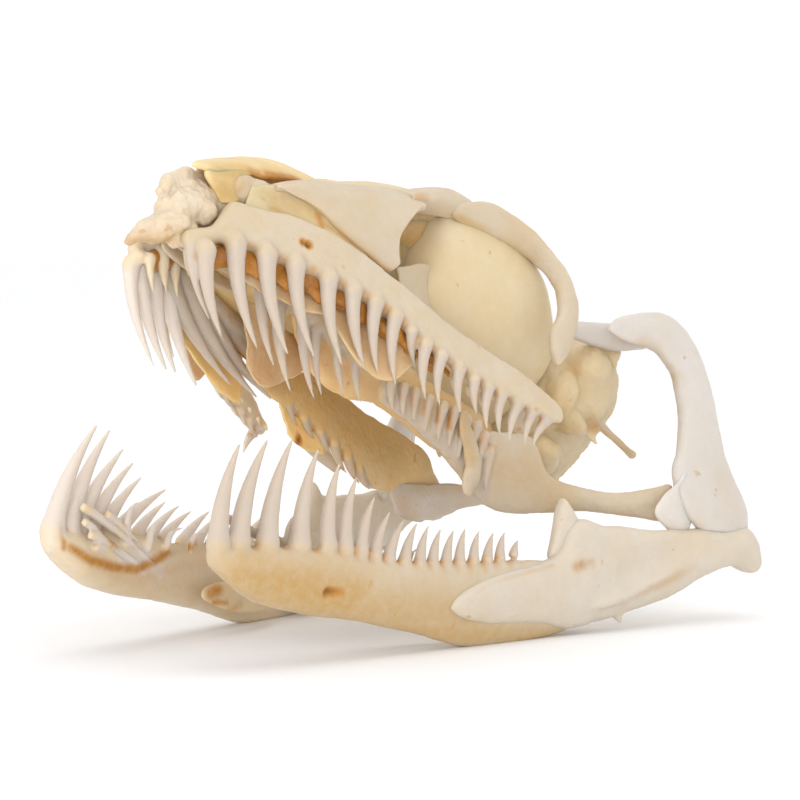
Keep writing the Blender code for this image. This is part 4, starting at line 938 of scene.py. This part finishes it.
def braincase():
    front = [
        vault_section(25.8, 17.8, 6.8, 15.2, 9.0, 6.8, 6.2),
        vault_section(27.7, 18.8, 8.9, 16.1, 7.6, 4.2, 3.2),
        vault_section(32.6, 19.4, 10.2, 17.0, 7.0, 3.6, 2.6),
        vault_section(36.6, 19.3, 10.8, 16.9, 7.0, 3.6, 2.6),
        vault_section(39.6, 18.9, 10.9, 16.0, 7.2, 3.7, 2.6),
        vault_section(42.6, 17.9, 10.0, 14.0, 7.4, 3.8, 2.6),
        vault_section(45.6, 16.8, 8.5, 13.0, 7.6, 3.8, 2.8),
    ]
    bm = bmesh.new()
    shell(bm, vault_rings(front))
    tans_and_shade = [((x, 28.2, 16.0), (x * 1.2, 38.0, 16.6), 1.6, 0.4) for x in (8.0, -8.0)]
    tans_and_shade += [((x, 33.0, 3.4), (x, 44.0, 3.2), 4.0, 0.6) for x in (5.0, -5.0)]
    name = "braincase_dome"
    finish_piece(name, bm, HEAD, ["parietal"], YELLOW, (), (), tans_and_shade, uneven=0.1)
    rear = [
        vault_section(44.6, 16.4, 7.8, 12.8, 7.6, 4.2, 3.6),
        vault_section(48.2, 16.6, 9.8, 13.4, 7.4, 3.6, 2.8),
        vault_section(52.2, 16.8, 10.4, 14.4, 8.0, 3.6, 2.8),
        vault_section(55.0, 16.6, 9.4, 14.2, 9.0, 4.0, 3.0),
        vault_section(57.0, 15.2, 7.8, 13.2, 9.4, 4.6, 3.8),
        vault_section(58.7, 12.6, 4.2, 10.8, 8.8, 5.2, 4.6),
    ]
    bm = bmesh.new()
    shell(bm, vault_rings(rear))
    knob = ((0.0, 56.5, 6.2, 1.8, 1.5), (0.0, 59.2, 6.0, 1.6, 1.3), (0.0, 60.2, 6.0, 0.9, 0.8))
    shell(bm, bar(knob))
    hook = ((8.6, 52.0, 7.4, 0.6, 0.6), (8.9, 52.9, 6.6, 0.5, 0.5), (9.3, 54.0, 6.0, 0.35, 0.35))
    for side in (1, -1):
        shell(bm, bar(on_side(hook, side)))
        lumps(bm, [(side * row[0], *row[1:]) for row in EAR_LUMPS if side > 0 or row[2] > 9.0])
    bm = melted(bm, 0.25)
    smoothed(bm, bm.verts, 14)
    tans_and_shade = [((x, 46.0, 6.6), (x, 49.6, 4.6), 3.2, 0.45) for x in (9.0, -9.0)]
    tans_and_shade += [((x, 46.0, 12.0), (x, 48.6, 9.0), 2.0, 0.35) for x in (9.6, -9.6)]
    tans_and_shade += [((x, 50.6, 7.2), (x, 53.4, 8.6), 1.8, 0.25) for x in (9.4, -9.4)]
    stains = [((x, 46.4, 11.6), (x, 47.4, 10.4), 1.1, 0.3) for x in (9.8, -9.8)]
    stains += [((x, 52.0, 7.2), (x, 52.8, 7.4), 1.0, 0.4) for x in (9.4, -9.4)]
    hole = ((0.0, 59.2, 8.9), (0.0, 57.0, 8.9))
    stains.append((*hole, 1.5, 1.4))
    name = "ear_and_neck_bone"
    finish_piece(name, bm, HEAD, ["hind_braincase"], YELLOW, [(*hole, 1.9, 1.8)], stains, tans_and_shade, (), 0.22, 0)
    low = [(0.0, 17.8, 2.6), (0.0, 21.5, 1.6), (0.0, 26.0, 1.4), (0.0, 30.0, 1.7), (0.0, 35.0, 2.2),
           (0.0, 40.0, 2.3), (0.0, 44.0, 2.0), (0.0, 47.6, 2.2)]
    high = [(0.0, 18.2, 4.2), (0.0, 22.0, 4.8), (0.0, 26.4, 5.6), (0.0, 30.0, 6.0), (0.0, 35.0, 6.0),
            (0.0, 40.0, 6.0), (0.0, 44.0, 5.6), (0.0, 47.6, 4.6)]
    bm = bmesh.new()
    shell(bm, blade(low, high, [0.6, 2.0, 4.2, 6.4, 8.0, 8.6, 7.6, 4.0], 6, 28))
    low = [(0.0, 17.8, 1.8), (0.0, 21.0, -0.9), (0.0, 24.5, -1.8), (0.0, 28.6, -1.1), (0.0, 31.6, 0.1),
           (0.0, 36.0, 0.4), (0.0, 42.0, 0.4), (0.0, 47.2, 1.6)]
    high = [(x, y, 3.4) for x, y, _ in low]
    shell(bm, blade(low, high, [0.6, 1.2, 1.6, 1.8, 1.8, 1.8, 1.8, 1.2], 6, 20))
    bm = melted(bm, 0.2)
    smoothed(bm, bm.verts, 6)
    tans_and_shade = [((1.6, 20.0, 1.0), (3.4, 44.0, 0.6), 2.4, 0.15), ((-1.6, 20.0, 1.0), (-3.4, 44.0, 0.6), 2.4, 0.15)]
    # The keel takes the lightened mouth bone: painted light against the shade under the skull.
    finish_piece("skull_keel", bm, HEAD, ["basisphenoid"], MOUTH_BONE_WITH_PAINTED_LIGHT, (), (), tans_and_shade, (), 0.12, 0)


# Front and rear edges of the quadrate in jaw measures, from its head down.
QUADRATE_FRONT = (
    (11.4, 16.2, 6.5), (12.2, 18.4, 5.2), (13.2, 21.6, 4.2), (14.2, 22.9, 2.2), (15.2, 22.5, -0.2),
    (16.4, 21.2, -2.6), (17.2, 19.8, -5.0), (17.6, 18.6, -7.4), (18.4, 19.4, -10.6), (19.0, 21.4, -12.8),
)
QUADRATE_BACK = (
    (11.8, 18.4, 7.7), (12.8, 23.4, 7.7), (13.8, 25.8, 5.9), (15.0, 26.5, 3.4), (16.2, 26.5, 0.4),
    (17.4, 26.0, -2.8), (18.3, 25.7, -5.6), (19.0, 26.6, -8.4), (19.5, 27.6, -10.8), (19.6, 27.9, -13.4),
)
QUADRATE_THICK = (0.5, 1.5, 1.9, 2.0, 2.0, 2.0, 2.0, 2.1, 2.2, 2.0)
QUADRATE_HEIGHT = 20.0


def quadrate_point(point, side):
    """The right quadrate leans in and down, as in the photograph."""
    x, y, z = point
    if side < 0:
        share = (z + 11.6) / QUADRATE_HEIGHT
        x, y, z = x + 4.4 * share, y - 1.8 * share, z - 3.4 * share
    return Vector((side * x, y, z))


def hind_side(side, tag):
    low = [(10.2, 42.6, 12.2), (10.5, 45.4, 12.9), (10.9, 48.4, 13.6), (11.3, 50.8, 14.4), (11.6, 53.0, 15.6),
           (11.9, 55.0, 16.8)]
    high = [(10.2, 42.4, 13.4), (10.6, 45.2, 14.7), (11.0, 47.9, 16.0), (11.4, 50.4, 17.1), (11.6, 52.6, 18.0),
            (12.0, 54.6, 18.7)]
    bm = bmesh.new()
    shell(bm, blade(on_side(low, side), on_side(high, side), [0.9, 1.5, 2.1, 2.5, 2.6, 1.8]))
    name = "supratemporal_bar_" + tag
    finish_piece(name, bm, HEAD, ["supratemporal_" + tag], PALE, uneven=0.08)
    stations = (
        (8.9, 52.2, 8.6, 0.8, 0.8), (9.2, 53.4, 8.2, 0.5, 0.5), (9.4, 54.6, 7.9, 0.4, 0.4), (9.5, 56.4, 7.8, 0.32, 0.32),
        (9.5, 58.4, 7.7, 0.34, 0.34), (9.5, 59.5, 7.7, 0.48, 0.48),
    )
    bm = bmesh.new()
    shell(bm, bar(on_side(stations, side)))
    stains = [((side * 9.5, 59.4, 7.7), (side * 9.5, 59.6, 7.7), 0.6, 0.5)]
    tans_and_shade = [((side * 9.0, 52.4, 8.4), (side * 9.5, 58.0, 7.8), 1.4, 0.5)]
    finish_piece("ear_rod_" + tag, bm, HEAD, ["stapes_" + tag], CREAM, (), stains, tans_and_shade)
    front = [quadrate_point(p, side) for p in QUADRATE_FRONT]
    back = [quadrate_point(p, side) for p in QUADRATE_BACK]
    bm = bmesh.new()
    shell(bm, blade(front, back, QUADRATE_THICK, 8, 28))
    tans_and_shade = [(quadrate_point((12.8, 20.0, 5.0), side), quadrate_point((14.6, 22.9, 1.6), side), 1.6, 0.4),
            (quadrate_point((18.6, 24.0, -8.0), side), quadrate_point((19.2, 25.0, -12.0), side), 2.6, 0.2)]
    name = "quadrate_bone_" + tag
    finish_piece(name, bm, JAW, ["quadrate_" + tag], PALE, (), (), tans_and_shade, uneven=0.12)
    strand = ((17.8, 20.4, -6.4, 0.3, 0.5), (18.0, 20.0, -7.6, 0.35, 1.1), (18.0, 19.6, -8.9, 0.4, 1.7),
              (17.8, 19.0, -10.2, 0.45, 2.1), (17.6, 18.4, -11.3, 0.45, 2.3), (17.4, 17.8, -12.1, 0.3, 1.9))
    bm = bmesh.new()
    shell(bm, bar([(*quadrate_point(row[:3], side), *row[3:]) for row in strand]))
    streaks = [(quadrate_point(p, side), quadrate_point(q, side), 0.4, 0.2) for p, q in (
        ((18.4, 21.0, -6.0), (18.0, 17.6, -11.8)), ((18.8, 21.6, -7.0), (18.9, 19.4, -12.0)),
    )]
    name = "jaw_ligament_" + tag
    finish_piece(name, bm, JAW, [], LIGAMENT, (), (), streaks, uneven=0.12)


# Upper and lower edges of the pterygoid, x y z in jaw measures, for the left and the right.
PTERYGOID_TOP = {
    1: ((5.8, -9.6, 2.8), (6.1, -6.5, 2.0), (6.5, -3.0, 0.4), (7.1, -0.2, -1.4), (7.7, 2.0, -2.4),
        (8.4, 5.4, -2.8), (9.0, 8.2, -3.4), (9.5, 9.8, -6.8), (10.9, 13.0, -8.2), (13.0, 15.8, -8.8),
        (15.4, 18.0, -8.4), (16.6, 20.0, -7.8)),
    -1: ((7.0, -10.6, 2.0), (7.4, -6.8, 2.6), (7.9, -3.4, 2.4), (8.4, -0.8, 1.6), (8.8, 1.8, 0.3),
         (9.0, 4.8, -1.3), (9.0, 7.6, -2.6), (9.0, 10.2, -3.6), (9.1, 12.6, -4.7), (9.2, 14.9, -6.0),
         (9.6, 16.7, -8.6), (10.9, 19.7, -10.0), (12.5, 23.0, -10.4), (14.5, 26.0, -10.4)),
}
PTERYGOID_LOW = {
    1: ((5.8, -10.2, 0.4), (6.1, -6.5, -1.5), (6.5, -3.0, -4.0), (6.9, -0.6, -6.2), (7.4, 1.0, -8.2),
        (8.0, 4.2, -10.2), (8.9, 7.8, -10.6), (9.8, 10.2, -10.6), (11.2, 13.2, -10.6), (13.4, 16.0, -11.0),
        (15.6, 18.6, -11.6), (17.0, 20.8, -12.4)),
    -1: ((7.0, -11.2, 1.0), (7.0, -8.0, -0.7), (7.0, -5.3, -2.3), (7.0, -2.5, -4.1), (7.1, -0.4, -5.6),
         (7.2, 2.0, -7.2), (7.4, 4.0, -8.6), (8.2, 6.6, -9.3), (9.0, 10.7, -10.1), (9.2, 13.9, -10.8),
         (9.6, 17.0, -11.5), (10.9, 20.0, -11.7), (12.5, 23.0, -11.8), (14.5, 26.0, -11.6)),
}
PTERYGOID_THICK = {
    1: (0.9, 1.2, 1.3, 1.3, 1.3, 1.3, 1.4, 1.6, 1.7, 1.6, 1.5, 1.0),
    -1: (0.7, 1.0, 1.1, 1.2, 1.2, 1.2, 1.2, 1.2, 1.2, 1.2, 1.1, 1.1, 1.1, 0.9),
}
# Pterygoid teeth in jaw measures: root, then tip.
PTERYGOID_TEETH = {
    1: (
        ((6.9, -9.4, 2.2), (6.8, -9.0, -0.4)), ((7.0, -7.8, 1.8), (6.8, -7.5, -1.0)), ((7.1, -6.3, 1.2), (6.9, -6.1, -1.6)),
        ((7.3, -4.6, 0.5), (7.0, -4.7, -2.5)), ((7.6, -3.0, -0.2), (7.3, -3.3, -3.5)), ((7.8, -1.6, -0.7), (7.5, -2.0, -4.1)),
        ((8.0, -0.2, -1.5), (7.7, -0.8, -5.0)), ((8.3, 1.0, -2.1), (8.0, 0.1, -5.6)), ((8.5, 1.9, -3.1), (8.4, 1.2, -6.2)),
        ((8.6, 2.5, -4.6), (8.5, 2.1, -8.3)),
    ),
    -1: (
        ((7.0, -7.6, -0.4), (6.8, -6.4, -2.5)), ((7.0, -5.4, -1.8), (6.8, -4.0, -3.8)), ((7.0, -3.2, -3.1), (6.8, -1.6, -5.4)),
        ((7.0, -1.2, -4.4), (6.9, 0.6, -7.2)), ((7.1, 0.8, -5.7), (7.0, 2.6, -8.3)), ((7.2, 2.6, -7.0), (7.1, 4.3, -9.0)),
    ),
}
RIGHT_FLANGE = (
    ((-7.3, -8.4, 0.2), (-7.3, -5.3, -1.8), (-7.3, -2.0, -4.0)),
    ((-7.0, -8.6, -0.8), (-7.0, -6.0, -2.8), (-7.0, -2.6, -4.7)),
    ((-6.8, -8.6, -1.4), (-6.7, -6.8, -4.0), (-6.8, -3.0, -5.2)),
)

# Dried sleeve round the last teeth of the left pterygoid, in jaw measures.
TOOTH_SLEEVE = (
    (8.3, -0.9, -0.6, 0.3, 0.35), (8.3, -0.8, -2.0, 0.4, 0.7), (8.3, -0.1, -3.8, 0.5, 0.95), (8.3, 0.4, -5.4, 0.55, 1.1),
    (8.3, 0.1, -7.0, 0.5, 1.1), (8.3, -0.6, -8.3, 0.3, 0.6),
)
# Skin at the right jaw joint, in jaw measures.
JOINT_SKIN = (
    ((-8.6, 8.2, -8.4), (-8.4, 12.4, -8.9), (-8.0, 16.8, -9.2), (-7.2, 20.6, -9.3), (-6.4, 23.4, -9.4)),
    ((-8.6, 8.8, -9.8), (-8.4, 12.2, -10.7), (-8.0, 16.4, -10.7), (-7.2, 20.4, -10.4), (-6.4, 23.4, -10.4)),
    ((-8.6, 9.6, -11.6), (-8.4, 12.0, -12.5), (-8.1, 15.2, -12.4), (-7.4, 19.2, -11.5), (-6.4, 23.4, -11.5)),
)

PALATINE_STATIONS = (
    (4.2, 4.2, 1.2, 0.7, 0.7), (4.4, 8.0, 0.7, 1.1, 1.0), (4.6, 12.0, 0.4, 1.3, 1.2), (4.9, 16.0, 0.2, 1.3, 1.2),
    (5.1, 20.0, -0.2, 1.1, 1.0), (5.4, 24.4, -0.9, 0.8, 0.8),
)
# Palatine teeth in head measures: root, then tip.
PALATINE_TEETH = {
    1: (
        ((4.2, 5.6, 0.4), (4.2, 9.8, -5.4)), ((4.3, 8.6, 0.2), (4.2, 13.0, -6.2)), ((4.4, 11.2, -0.2), (4.2, 15.8, -7.2)),
        ((4.6, 14.6, -0.2), (4.2, 19.0, -6.3)), ((4.7, 16.4, -0.2), (4.2, 19.8, -5.5)),
        ((4.9, 19.4, -0.6), (4.6, 22.4, -4.4)), ((5.1, 22.0, -1.0), (4.8, 24.4, -4.0)),
    ),
    -1: (
        ((4.1, 5.4, 0.6), (4.2, 17.1, -5.0)), ((4.2, 8.2, 0.5), (4.2, 20.8, -4.4)), ((4.3, 10.8, 0.4), (4.2, 22.7, -3.6)),
        ((4.6, 15.0, 0.2), (4.2, 23.0, -1.6)),
    ),
}
ECTOPTERYGOID = {
    1: ((14.2, 32.6, 1.2, 0.6, 0.45), (13.7, 34.9, 1.0, 0.9, 0.6), (12.5, 37.2, 0.4, 1.0, 0.6),
        (11.4, 38.8, -0.2, 0.7, 0.5)),
    -1: ((12.6, 37.4, 0.4, 0.6, 0.5), (11.9, 38.6, -0.2, 1.0, 0.6), (11.0, 39.8, -0.8, 0.9, 0.6),
         (10.2, 40.8, -1.4, 0.6, 0.5)),
}


def tooth_places(rows, side, thickness):
    places = []
    for root, tip in rows:
        root, tip = Vector((side * root[0], *root[1:])), Vector((side * tip[0], *tip[1:]))
        length = (tip - root).length
        places.append((root, tip, thickness * (0.22 + 0.05 * length), Vector((0.0, -0.08 * length, -0.05 * length))))
    return places


def palate_side(side, tag):
    bm = bmesh.new()
    stations = on_side(PALATINE_STATIONS, side)
    if side < 0:
        stations[-1] = (-5.2, 22.2, -0.7, 0.8, 0.8)
    shell(bm, bar(stations))
    teeth = tooth_places(PALATINE_TEETH[side], side, 1.0)
    for place in teeth:
        tooth(bm, *place)
    bm = fused_teeth(bm, teeth)
    # The tan along the palatine bar is partly staining and partly painted shade inside the mouth.
    tans_and_shade = [((side * 4.4, 4.0, 1.0), (side * 5.4, 24.0, -0.6), 2.0, 0.7)]
    stains = [((-5.2, 17.0, -0.6), (-5.4, 22.4, -1.0), 1.5, 1.0)]
    name = "palatine_bar_" + tag
    finish_piece(name, bm, HEAD, ["palatine_" + tag], CREAM, (), stains, tans_and_shade, teeth, 0.1, 0, 0.0, 0.9)

    low = on_side(PTERYGOID_LOW[side], side)
    top = on_side(PTERYGOID_TOP[side], side)
    bm = bmesh.new()
    shell(bm, blade(low, top, PTERYGOID_THICK[side], 8, 28))
    teeth = tooth_places(PTERYGOID_TEETH[side], side, 1.15)
    for place in teeth:
        tooth(bm, *place)
    bm = fused_teeth(bm, teeth, 0.15, 16)
    middle = [(a + b) / 2 for a, b in zip(map(Vector, low), map(Vector, top))]
    # The tan along the pterygoid blade is partly staining and partly painted shade.
    tans_and_shade = chained(middle[:8], 3.6, 0.5 if side > 0 else 0.36)
    stains = between_teeth(teeth, -1.6, 0.55, 0.5)
    name = "pterygoid_blade_" + tag
    finish_piece(name, bm, JAW, ["pterygoid_" + tag], GOLD if side < 0 else CREAM, (), stains, tans_and_shade, teeth, 0.08, 0,
                 0.0, 0.8)

    bm = bmesh.new()
    shell(bm, bar(on_side(ECTOPTERYGOID[side], side)))
    name = "ectopterygoid_strut_" + tag
    finish_piece(name, bm, HEAD, ["ectopterygoid_" + tag], CREAM)


def dried_palate():
    """Skin and gristle left in the mouth, each as a bent sheet behind the teeth."""
    bm = bmesh.new()
    sheet(bm, RIGHT_FLANGE)
    torn(bm, 0.15)
    stains = [((-6.8, -6.5, -3.7), (-6.8, -6.5, -3.7), 0.55, 4.0)]
    # The lobe takes the lightened mouth bone: painted light against the shade in the mouth.
    finish_piece("palate_lobe", bm, JAW, [], MOUTH_BONE_WITH_PAINTED_LIGHT, (), stains, (), (), 0.15, 0, 0.25)
    bm = bmesh.new()
    shell(bm, bar(TOOTH_SLEEVE, lift=Vector((0.0, 1.0, 0.0))))
    stains = [((9.2, -1.8, -2.4), (9.2, -1.6, -4.2), 0.35, 0.8), ((9.2, -0.9, -3.4), (9.2, -1.2, -5.2), 0.35, 0.7)]
    tans_and_shade = [((8.6, -1.2, -1.0), (8.6, -0.6, -4.6), 2.0, 0.6)]
    finish_piece("tooth_sleeve", bm, JAW, [], CREAM, (), stains, tans_and_shade, (), 0.2)
    bm = bmesh.new()
    sheet(bm, JOINT_SKIN, 6)
    torn(bm, 0.2)
    tans_and_shade = [((-8.4, 10.4, -10.0), (-8.4, 11.4, -12.0), 1.8, 0.35), ((-8.4, 12.0, -9.2), (-6.4, 23.0, -9.8), 1.2, 0.45)]
    finish_piece("joint_skin_right", bm, JAW, [], PALE, (), (), tans_and_shade, (), 0.15, 0, 0.25)
    for side, tag in ((1, "left"), (-1, "right")):
        ledge = [(2.6, 3.0, 1.4), (3.4, 5.6, 1.2), (4.6, 8.6, 1.1), (5.8, 11.4, 1.0), (7.0, 14.0, 0.8), (8.0, 17.0, 0.6),
                 (9.2, 19.6, 0.4), (10.2, 22.4, 0.2)]
        top = [(3.2, 3.6, 0.4), (4.4, 5.6, 0.2), (5.6, 8.4, 0.2), (6.8, 11.2, 0.2), (8.2, 13.8, 0.2), (9.2, 16.6, -0.2),
               (10.4, 19.4, -0.4), (11.4, 22.4, -0.6)]
        low = [(3.6, 3.8, -1.2), (4.9, 5.6, -1.8), (5.9, 8.2, -2.0), (7.4, 11.0, -2.1), (8.8, 13.8, -2.0), (10.0, 17.0, -4.6),
               (11.2, 20.2, -4.6), (11.9, 21.9, -2.0)]
        bm = bmesh.new()
        sheet(bm, [[settled(p, side) for p in on_side(row, side)] for row in (ledge, top, low)])
        torn(bm, 0.25)
        stains = [((side * 3.4, 4.0, 0.6), (side * 9.0, 15.0, 0.6), 1.2, 0.5)]
        name = "mouth_skin_" + tag
        finish_piece(name, bm, HEAD, [], MEMBRANE, (), stains, (), (), 0.2, 1, 0.2)
    roof = []
    for y, drop in ((3.4, 0.1), (6.4, 0.2), (11.0, 0.0), (16.0, 0.0), (21.0, 0.0), (24.0, -0.4)):
        wide = 4.6 + 0.12 * y
        roof.append([(wide * t, y, 2.2 - drop - 1.6 * t * t) for t in (-1.0, -0.5, 0.0, 0.5, 1.0)])
    bm = bmesh.new()
    sheet(bm, roof, 6)
    torn(bm, 0.4)
    # The roof skin takes the lightened mouth bone: painted light against the shade in the mouth.
    finish_piece("mouth_roof_skin", bm, HEAD, [], MOUTH_BONE_WITH_PAINTED_LIGHT, uneven=0.25, wall=0.25)
    septum = (
        [(-1.6, 12.6, 1.4), (-1.4, 15.6, 1.4), (-1.2, 18.4, 1.3), (-1.0, 21.2, 1.2), (-0.8, 23.6, 0.9)],
        [(-1.6, 14.6, -1.4), (-1.4, 16.4, -2.4), (-1.0, 18.2, -2.4), (-0.8, 20.4, -1.2), (-0.8, 22.8, 0.0)],
        [(-1.8, 15.8, -3.8), (-1.4, 17.0, -5.0), (-1.0, 18.4, -5.0), (-0.8, 20.6, -3.0), (-0.8, 22.8, -0.6)],
    )
    bm = bmesh.new()
    sheet(bm, septum, 6)
    torn(bm, 0.3)
    finish_piece("mouth_middle_skin", bm, HEAD, [], MEMBRANE, uneven=0.25, wall=0.25)
    inner = (
        [(-6.0, 4.0, 2.4), (-6.6, 8.0, 3.2), (-7.0, 12.0, 3.4), (-7.2, 16.0, 3.0), (-7.4, 20.0, 2.4)],
        [(-5.6, 5.6, 0.4), (-6.0, 9.4, 0.2), (-6.4, 13.4, 0.4), (-6.8, 17.0, -0.2), (-7.2, 21.0, -0.8)],
        [(-5.4, 7.4, -2.2), (-5.8, 11.0, -3.4), (-6.2, 15.2, -4.4), (-6.6, 18.6, -4.8), (-7.0, 22.0, -4.4)],
    )
    bm = bmesh.new()
    sheet(bm, inner, 6)
    torn(bm, 0.3)
    # The cheek skin takes the lightened mouth bone: painted light against the shade in the mouth.
    finish_piece("far_cheek_skin", bm, HEAD, [], MOUTH_BONE_WITH_PAINTED_LIGHT, uneven=0.25, wall=0.25)


# Stage


def area_light(name, place, target, size, power, colour):
    lamp = bpy.data.lights.new(name, "AREA")
    lamp.shape = "RECTANGLE"
    lamp.size, lamp.size_y = size
    lamp.energy = power
    lamp.color = colour
    made = bpy.data.objects.new(name, lamp)
    bpy.context.scene.collection.objects.link(made)
    made.location = place
    made.rotation_mode = "QUATERNION"
    made.rotation_quaternion = (Vector(target) - Vector(place)).to_track_quat("-Z", "Y")


FLOOR_TONE = (0.91, 0.91, 0.92)
WALL_LIGHT = 1.12
CEILING_LIGHT = 0.62
WINDOW_LIGHT = 1.15
WINDOW_SPREAD = 85.0
WINDOW_FROM = (0.02, 0.22, 1.0)


def studio():
    bm = bmesh.new()
    bmesh.ops.create_grid(bm, x_segments=2, y_segments=2, size=3.0)
    mesh = bpy.data.meshes.new("pale_floor")
    bm.to_mesh(mesh)
    bm.free()
    floor = bpy.data.objects.new("pale_floor", mesh)
    bpy.context.scene.collection.objects.link(floor)
    paper = bpy.data.materials.new("white_paper")
    paper.use_nodes = True
    shader = paper.node_tree.nodes["Principled BSDF"]
    shader.inputs["Base Color"].default_value = (*FLOOR_TONE, 1.0)
    shader.inputs["Roughness"].default_value = 0.8
    mesh.materials.append(paper)
    world = bpy.data.worlds.new("white_room")
    bpy.context.scene.world = world
    world.use_nodes = True
    tree = world.node_tree
    place = node(tree, "ShaderNodeTexCoord")
    height = node(tree, "ShaderNodeSeparateXYZ")
    fade = node(tree, "ShaderNodeMapRange", interpolation_type="SMOOTHSTEP")
    fade.inputs["From Min"].default_value = 0.15
    fade.inputs["From Max"].default_value = 0.75
    fade.inputs["To Min"].default_value = WALL_LIGHT
    fade.inputs["To Max"].default_value = CEILING_LIGHT
    tree.links.new(place.outputs["Generated"], height.inputs[0])
    tree.links.new(height.outputs["Z"], fade.inputs["Value"])
    tree.nodes["Background"].inputs["Color"].default_value = (1.0, 1.0, 1.0, 1.0)
    tree.links.new(fade.outputs["Result"], tree.nodes["Background"].inputs["Strength"])
    bpy.context.scene.view_settings.view_transform = "Standard"
    lamp = bpy.data.lights.new("high_window", "SUN")
    lamp.energy = WINDOW_LIGHT
    lamp.angle = math.radians(WINDOW_SPREAD)
    window = bpy.data.objects.new("high_window", lamp)
    bpy.context.scene.collection.objects.link(window)
    window.rotation_mode = "QUATERNION"
    window.rotation_quaternion = Vector(WINDOW_FROM).to_track_quat("Z", "Y")
    middle = (0.0, 0.003, 0.02)
    area_light("overhead_softbox", (0.02, -0.02, 0.45), middle, (0.5, 0.5), 0.25, (1.0, 1.0, 1.0))
    area_light("low_fill", (-0.05, -0.40, 0.06), middle, (0.3, 0.2), 0.20, (1.0, 1.0, 1.0))
    area_light("front_fill", (0.20, -0.27, 0.05), middle, (0.2, 0.16), 0.50, (1.0, 1.0, 1.0))


def photograph_camera():
    lens = bpy.data.cameras.new("photograph_camera")
    lens.lens = 146.7
    lens.sensor_width = 36.0
    lens.clip_start = 0.01
    camera = bpy.data.objects.new("photograph_camera", lens)
    bpy.context.scene.collection.objects.link(camera)
    azimuth, elevation, distance = math.radians(40.0), math.radians(3.0), 0.300
    back = Vector((
        math.sin(azimuth) * math.cos(elevation), -math.cos(azimuth) * math.cos(elevation), math.sin(elevation),
    ))
    camera.location = Vector((0.0, -MIDDLE_Y, -TABLE)) * MM + back * distance
    camera.rotation_mode = "QUATERNION"
    camera.rotation_quaternion = (-back).to_track_quat("-Z", "Y")
    bpy.context.scene.camera = camera


snout()
braincase()
for side, tag in ((1, "left"), (-1, "right")):
    snout_side(side, tag)
    orbit_side(side, tag)
    hind_side(side, tag)
    upper_jaw(side, tag)
    palate_side(side, tag)
    lower_jaw(side, tag)
dried_palate()
studio()
photograph_camera()
